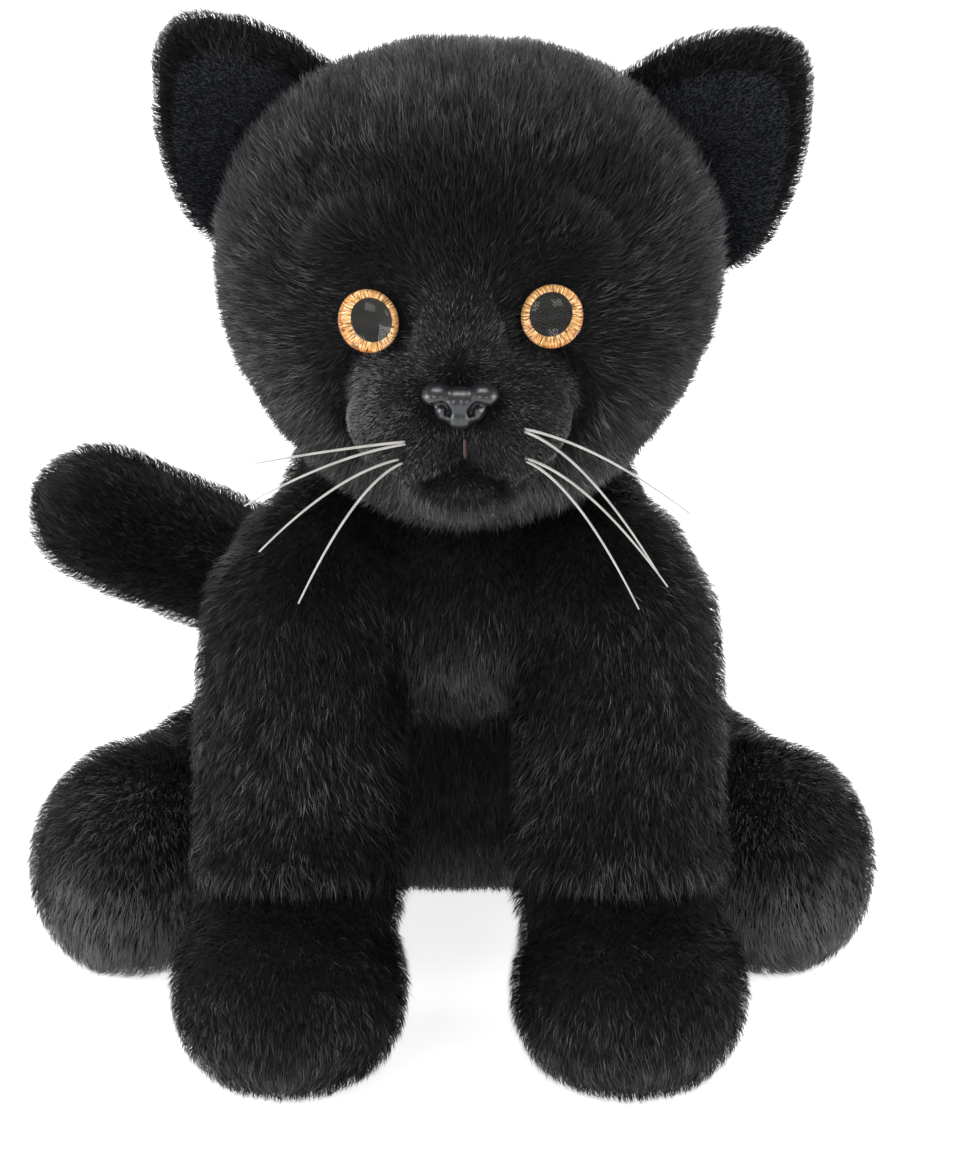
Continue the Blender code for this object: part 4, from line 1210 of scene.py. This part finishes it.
def ear_outline(count=72):
    pts = np.array(EAR_OUTLINE, float)
    closed = np.vstack([pts, pts[:1]])
    far = np.concatenate([[0], np.cumsum(np.linalg.norm(np.diff(closed, axis=0), axis=1))])
    t = np.linspace(0, far[-1], count, endpoint=False)
    ring = np.stack([np.interp(t, far, closed[:, k]) for k in (0, 1)], 1)
    for _ in range(3):
        ring = (np.roll(ring, 1, 0) + 2 * ring + np.roll(ring, -1, 0)) / 4
    return ring


def ear_point(side, st, depth):
    a, along, out, front = ear_frame(side)
    size = EAR_SCALE[side]
    st = np.atleast_2d(st)
    s, t = st[:, :1], st[:, 1:]
    bowl = EAR_CUP * (1 - ((s - 25.5) / 30.0) ** 2) * (1 - 0.55 * (t / 42.0) ** 2)
    return a + along * s * size + out * t * size + front * (np.reshape(depth, (-1, 1)) - bowl)


def ear_share(side, points):
    """How far out each point lies on its ear, 1 at the lining's edge."""
    a, along, out, _ = ear_frame(side)
    q = (about_neck(points, -HEAD_TURN) - a) / EAR_SCALE[side]
    s, t = q @ along - EAR_MID[0] - LINING_MOVE[0], q @ out - EAR_MID[1] - LINING_MOVE[1]
    ring = ear_outline() - EAR_MID
    angle = np.arctan2(ring[:, 1], ring[:, 0])
    order = np.argsort(angle)
    edge = np.interp(np.arctan2(t, s), angle[order], np.hypot(*ring.T)[order], period=2 * math.pi)
    return np.hypot(s, t) / (edge * LINING_SHARE)


def ear_shape(side, shrink, low, high, move=(0.0, 0.0)):
    """A pillow with the ear's outline, drawn from the middle of its back to the middle of its front."""
    outline = ear_outline()
    mid = (low + high) / 2
    half = (high - low) / 2
    rings = []
    shares = [(s, -1.0) for s in np.linspace(0.12, 0.9, 8)]
    shares += [(0.9 + 0.1 * math.sin(a), -math.cos(a)) for a in np.linspace(0.3, math.pi - 0.3, 8)]
    shares += [(s, 1.0) for s in np.linspace(0.9, 0.12, 8)]
    for share, level in shares:
        ring = EAR_MID + (outline - EAR_MID) * share * shrink + move
        rings.append(ear_point(side, ring, np.full(len(ring), mid + level * half)))
    start = ear_point(side, EAR_MID, mid - half)[0]
    end = ear_point(side, EAR_MID, mid + half)[0]
    return rings_shape(rings, start, end)


def outward_fixed(ob):
    bm = bmesh.new()
    bm.from_mesh(ob.data)
    bmesh.ops.recalc_face_normals(bm, faces=bm.faces)
    bm.to_mesh(ob.data)
    bm.free()
    return ob


def ear_pillow(name, shape):
    """An ear piece with the head's turn and its faces outward."""
    ob = make_object(name, *shape)
    set_coords(ob, about_neck(coords(ob)))
    return outward_fixed(smooth(ob))


def build_ears():
    for k, side in enumerate(SIDES):
        front = about_neck(NECK + ear_frame(side)[3]) - NECK
        root = about_neck(ear_point(side, (25.5, -22.0), 3.0)[0])

        def ear_nap(p, n, root=root):
            return unit(p - root)

        back = ear_pillow(f"ear_{side}_skin", ear_shape(side, BACK_SHARE, *BACK_DEPTHS))
        shape = ear_shape(side, LINING_SHARE, *LINING_DEPTHS, LINING_MOVE)
        lining = ear_pillow(f"ear_{side}_lining_skin", shape)

        def not_inside(p, n):
            return ~inside_head(p, -3.0)

        def off_lining(p, n, front=front, side=side):
            """The plush grows on the back, the rim and round the lining, and not under it."""
            return ~inside_head(p, -3.0) & ((n @ front < 0.3) | (ear_share(side, p) > 0.92))

        # Painted sheen on the ear lining: its fibres lighter towards the lining's edge, and the left lining
        # lighter all over as painted light.
        def edge_tone(p, side=side):
            base = 0.05 if side == "right" else 0.45
            return base + 0.45 * clip01((ear_share(side, p) - 0.45) / 0.55)

        start = to_world(about_neck(ear_point(side, (25.5, -2.0), 3.0)[0]))
        end = to_world(about_neck(ear_point(side, (25.5, 16.0), 3.0)[0]))
        back.data.materials.append(BACKING)
        lining.data.materials.append(LINING_BACKING)
        hairs = grow(f"ear_{side}_pile", back, ear_nap, 4.0, density=4.2, keep=off_lining, seed=81 + k,
                     lift=-4.0, wander=1.5, chances=(0.48, 0.34, 0.13, 0.05, 0.0), warm=0.08)
        short = grow(f"ear_{side}_lining_pile", lining, ear_nap, 1.4, density=4.5, width=0.26,
                     keep=not_inside, chances=(0.4, 0.4, 0.2), looks=SHORT_PILE, seed=91 + k,
                     wander=0.6, warm=0, tone=edge_tone)
        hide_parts(f"ear_{side}_back")
        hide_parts(f"ear_{side}_lining")
        for ob in (back, *hairs):
            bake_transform(ob)
        for ob in (lining, *short):
            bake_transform(ob)


# Stage, lights and camera.

FLOOR_HALF = 6.0
FLOOR_GLOW = 0.82
SKY_STRENGTH = 0.62
LAMPS = [
    # name, place in metres, size, watts
    ("key", (-0.55, -1.15, 0.85), 0.6, 6.5), ("fill", (0.75, -1.1, 0.78), 0.5, 4.0),
    ("top", (0.0, 0.55, 1.5), 0.9, 16.0), ("back", (0.0, 1.3, 0.7), 0.9, 8.0),
    ("left", (-1.4, -0.15, 0.40), 0.8, 16.0), ("right", (1.4, 0.1, 0.40), 0.8, 10.0),
]
CAMERA_AT = (0.0102, -1.05574, 0.42911)
CAMERA_DOWN = 17.0              # degrees below level
CAMERA_LENS = 134.93


def build_stage():
    mesh = bpy.data.meshes.new("floor")
    corners = [(x * FLOOR_HALF, y * FLOOR_HALF, 0) for x, y in ((-1, -1), (1, -1), (1, 1), (-1, 1))]
    mesh.from_pydata(corners, [], [(0, 1, 2, 3)])
    floor = placed("floor", mesh)
    mat, _, shader = material("floor_white", (0.7, 0.7, 0.7), 0.9)
    shader.inputs["Specular IOR Level"].default_value = 0.1
    shader.inputs["Emission Color"].default_value = (1, 1, 1, 1)
    shader.inputs["Emission Strength"].default_value = FLOOR_GLOW
    mesh.materials.append(mat)
    world = bpy.context.scene.world or bpy.data.worlds.new("studio")
    bpy.context.scene.world = world
    world.use_nodes = True
    background = world.node_tree.nodes["Background"]
    background.inputs["Color"].default_value = (1, 1, 1, 1)
    background.inputs["Strength"].default_value = SKY_STRENGTH
    for name, place, size, power in LAMPS:
        data = bpy.data.lights.new(name, "AREA")
        data.size = size
        data.energy = power
        ob = placed(name, data)
        ob.location = place
        ob.rotation_euler = (Vector((0, 0, 0.12)) - Vector(place)).to_track_quat("-Z", "Y").to_euler()
    bpy.context.scene.view_settings.view_transform = "Standard"


def build_camera():
    data = bpy.data.cameras.new("camera")
    data.lens = CAMERA_LENS
    data.sensor_width = 36.0
    data.sensor_fit = "AUTO"
    ob = placed("camera", data)
    ob.location = CAMERA_AT
    ob.rotation_euler = (math.radians(90 - CAMERA_DOWN), 0, 0)
    bpy.context.scene.camera = ob


build_camera()
build_stage()
build_body()
build_head()
build_ears()

bpy.context.view_layer.update()
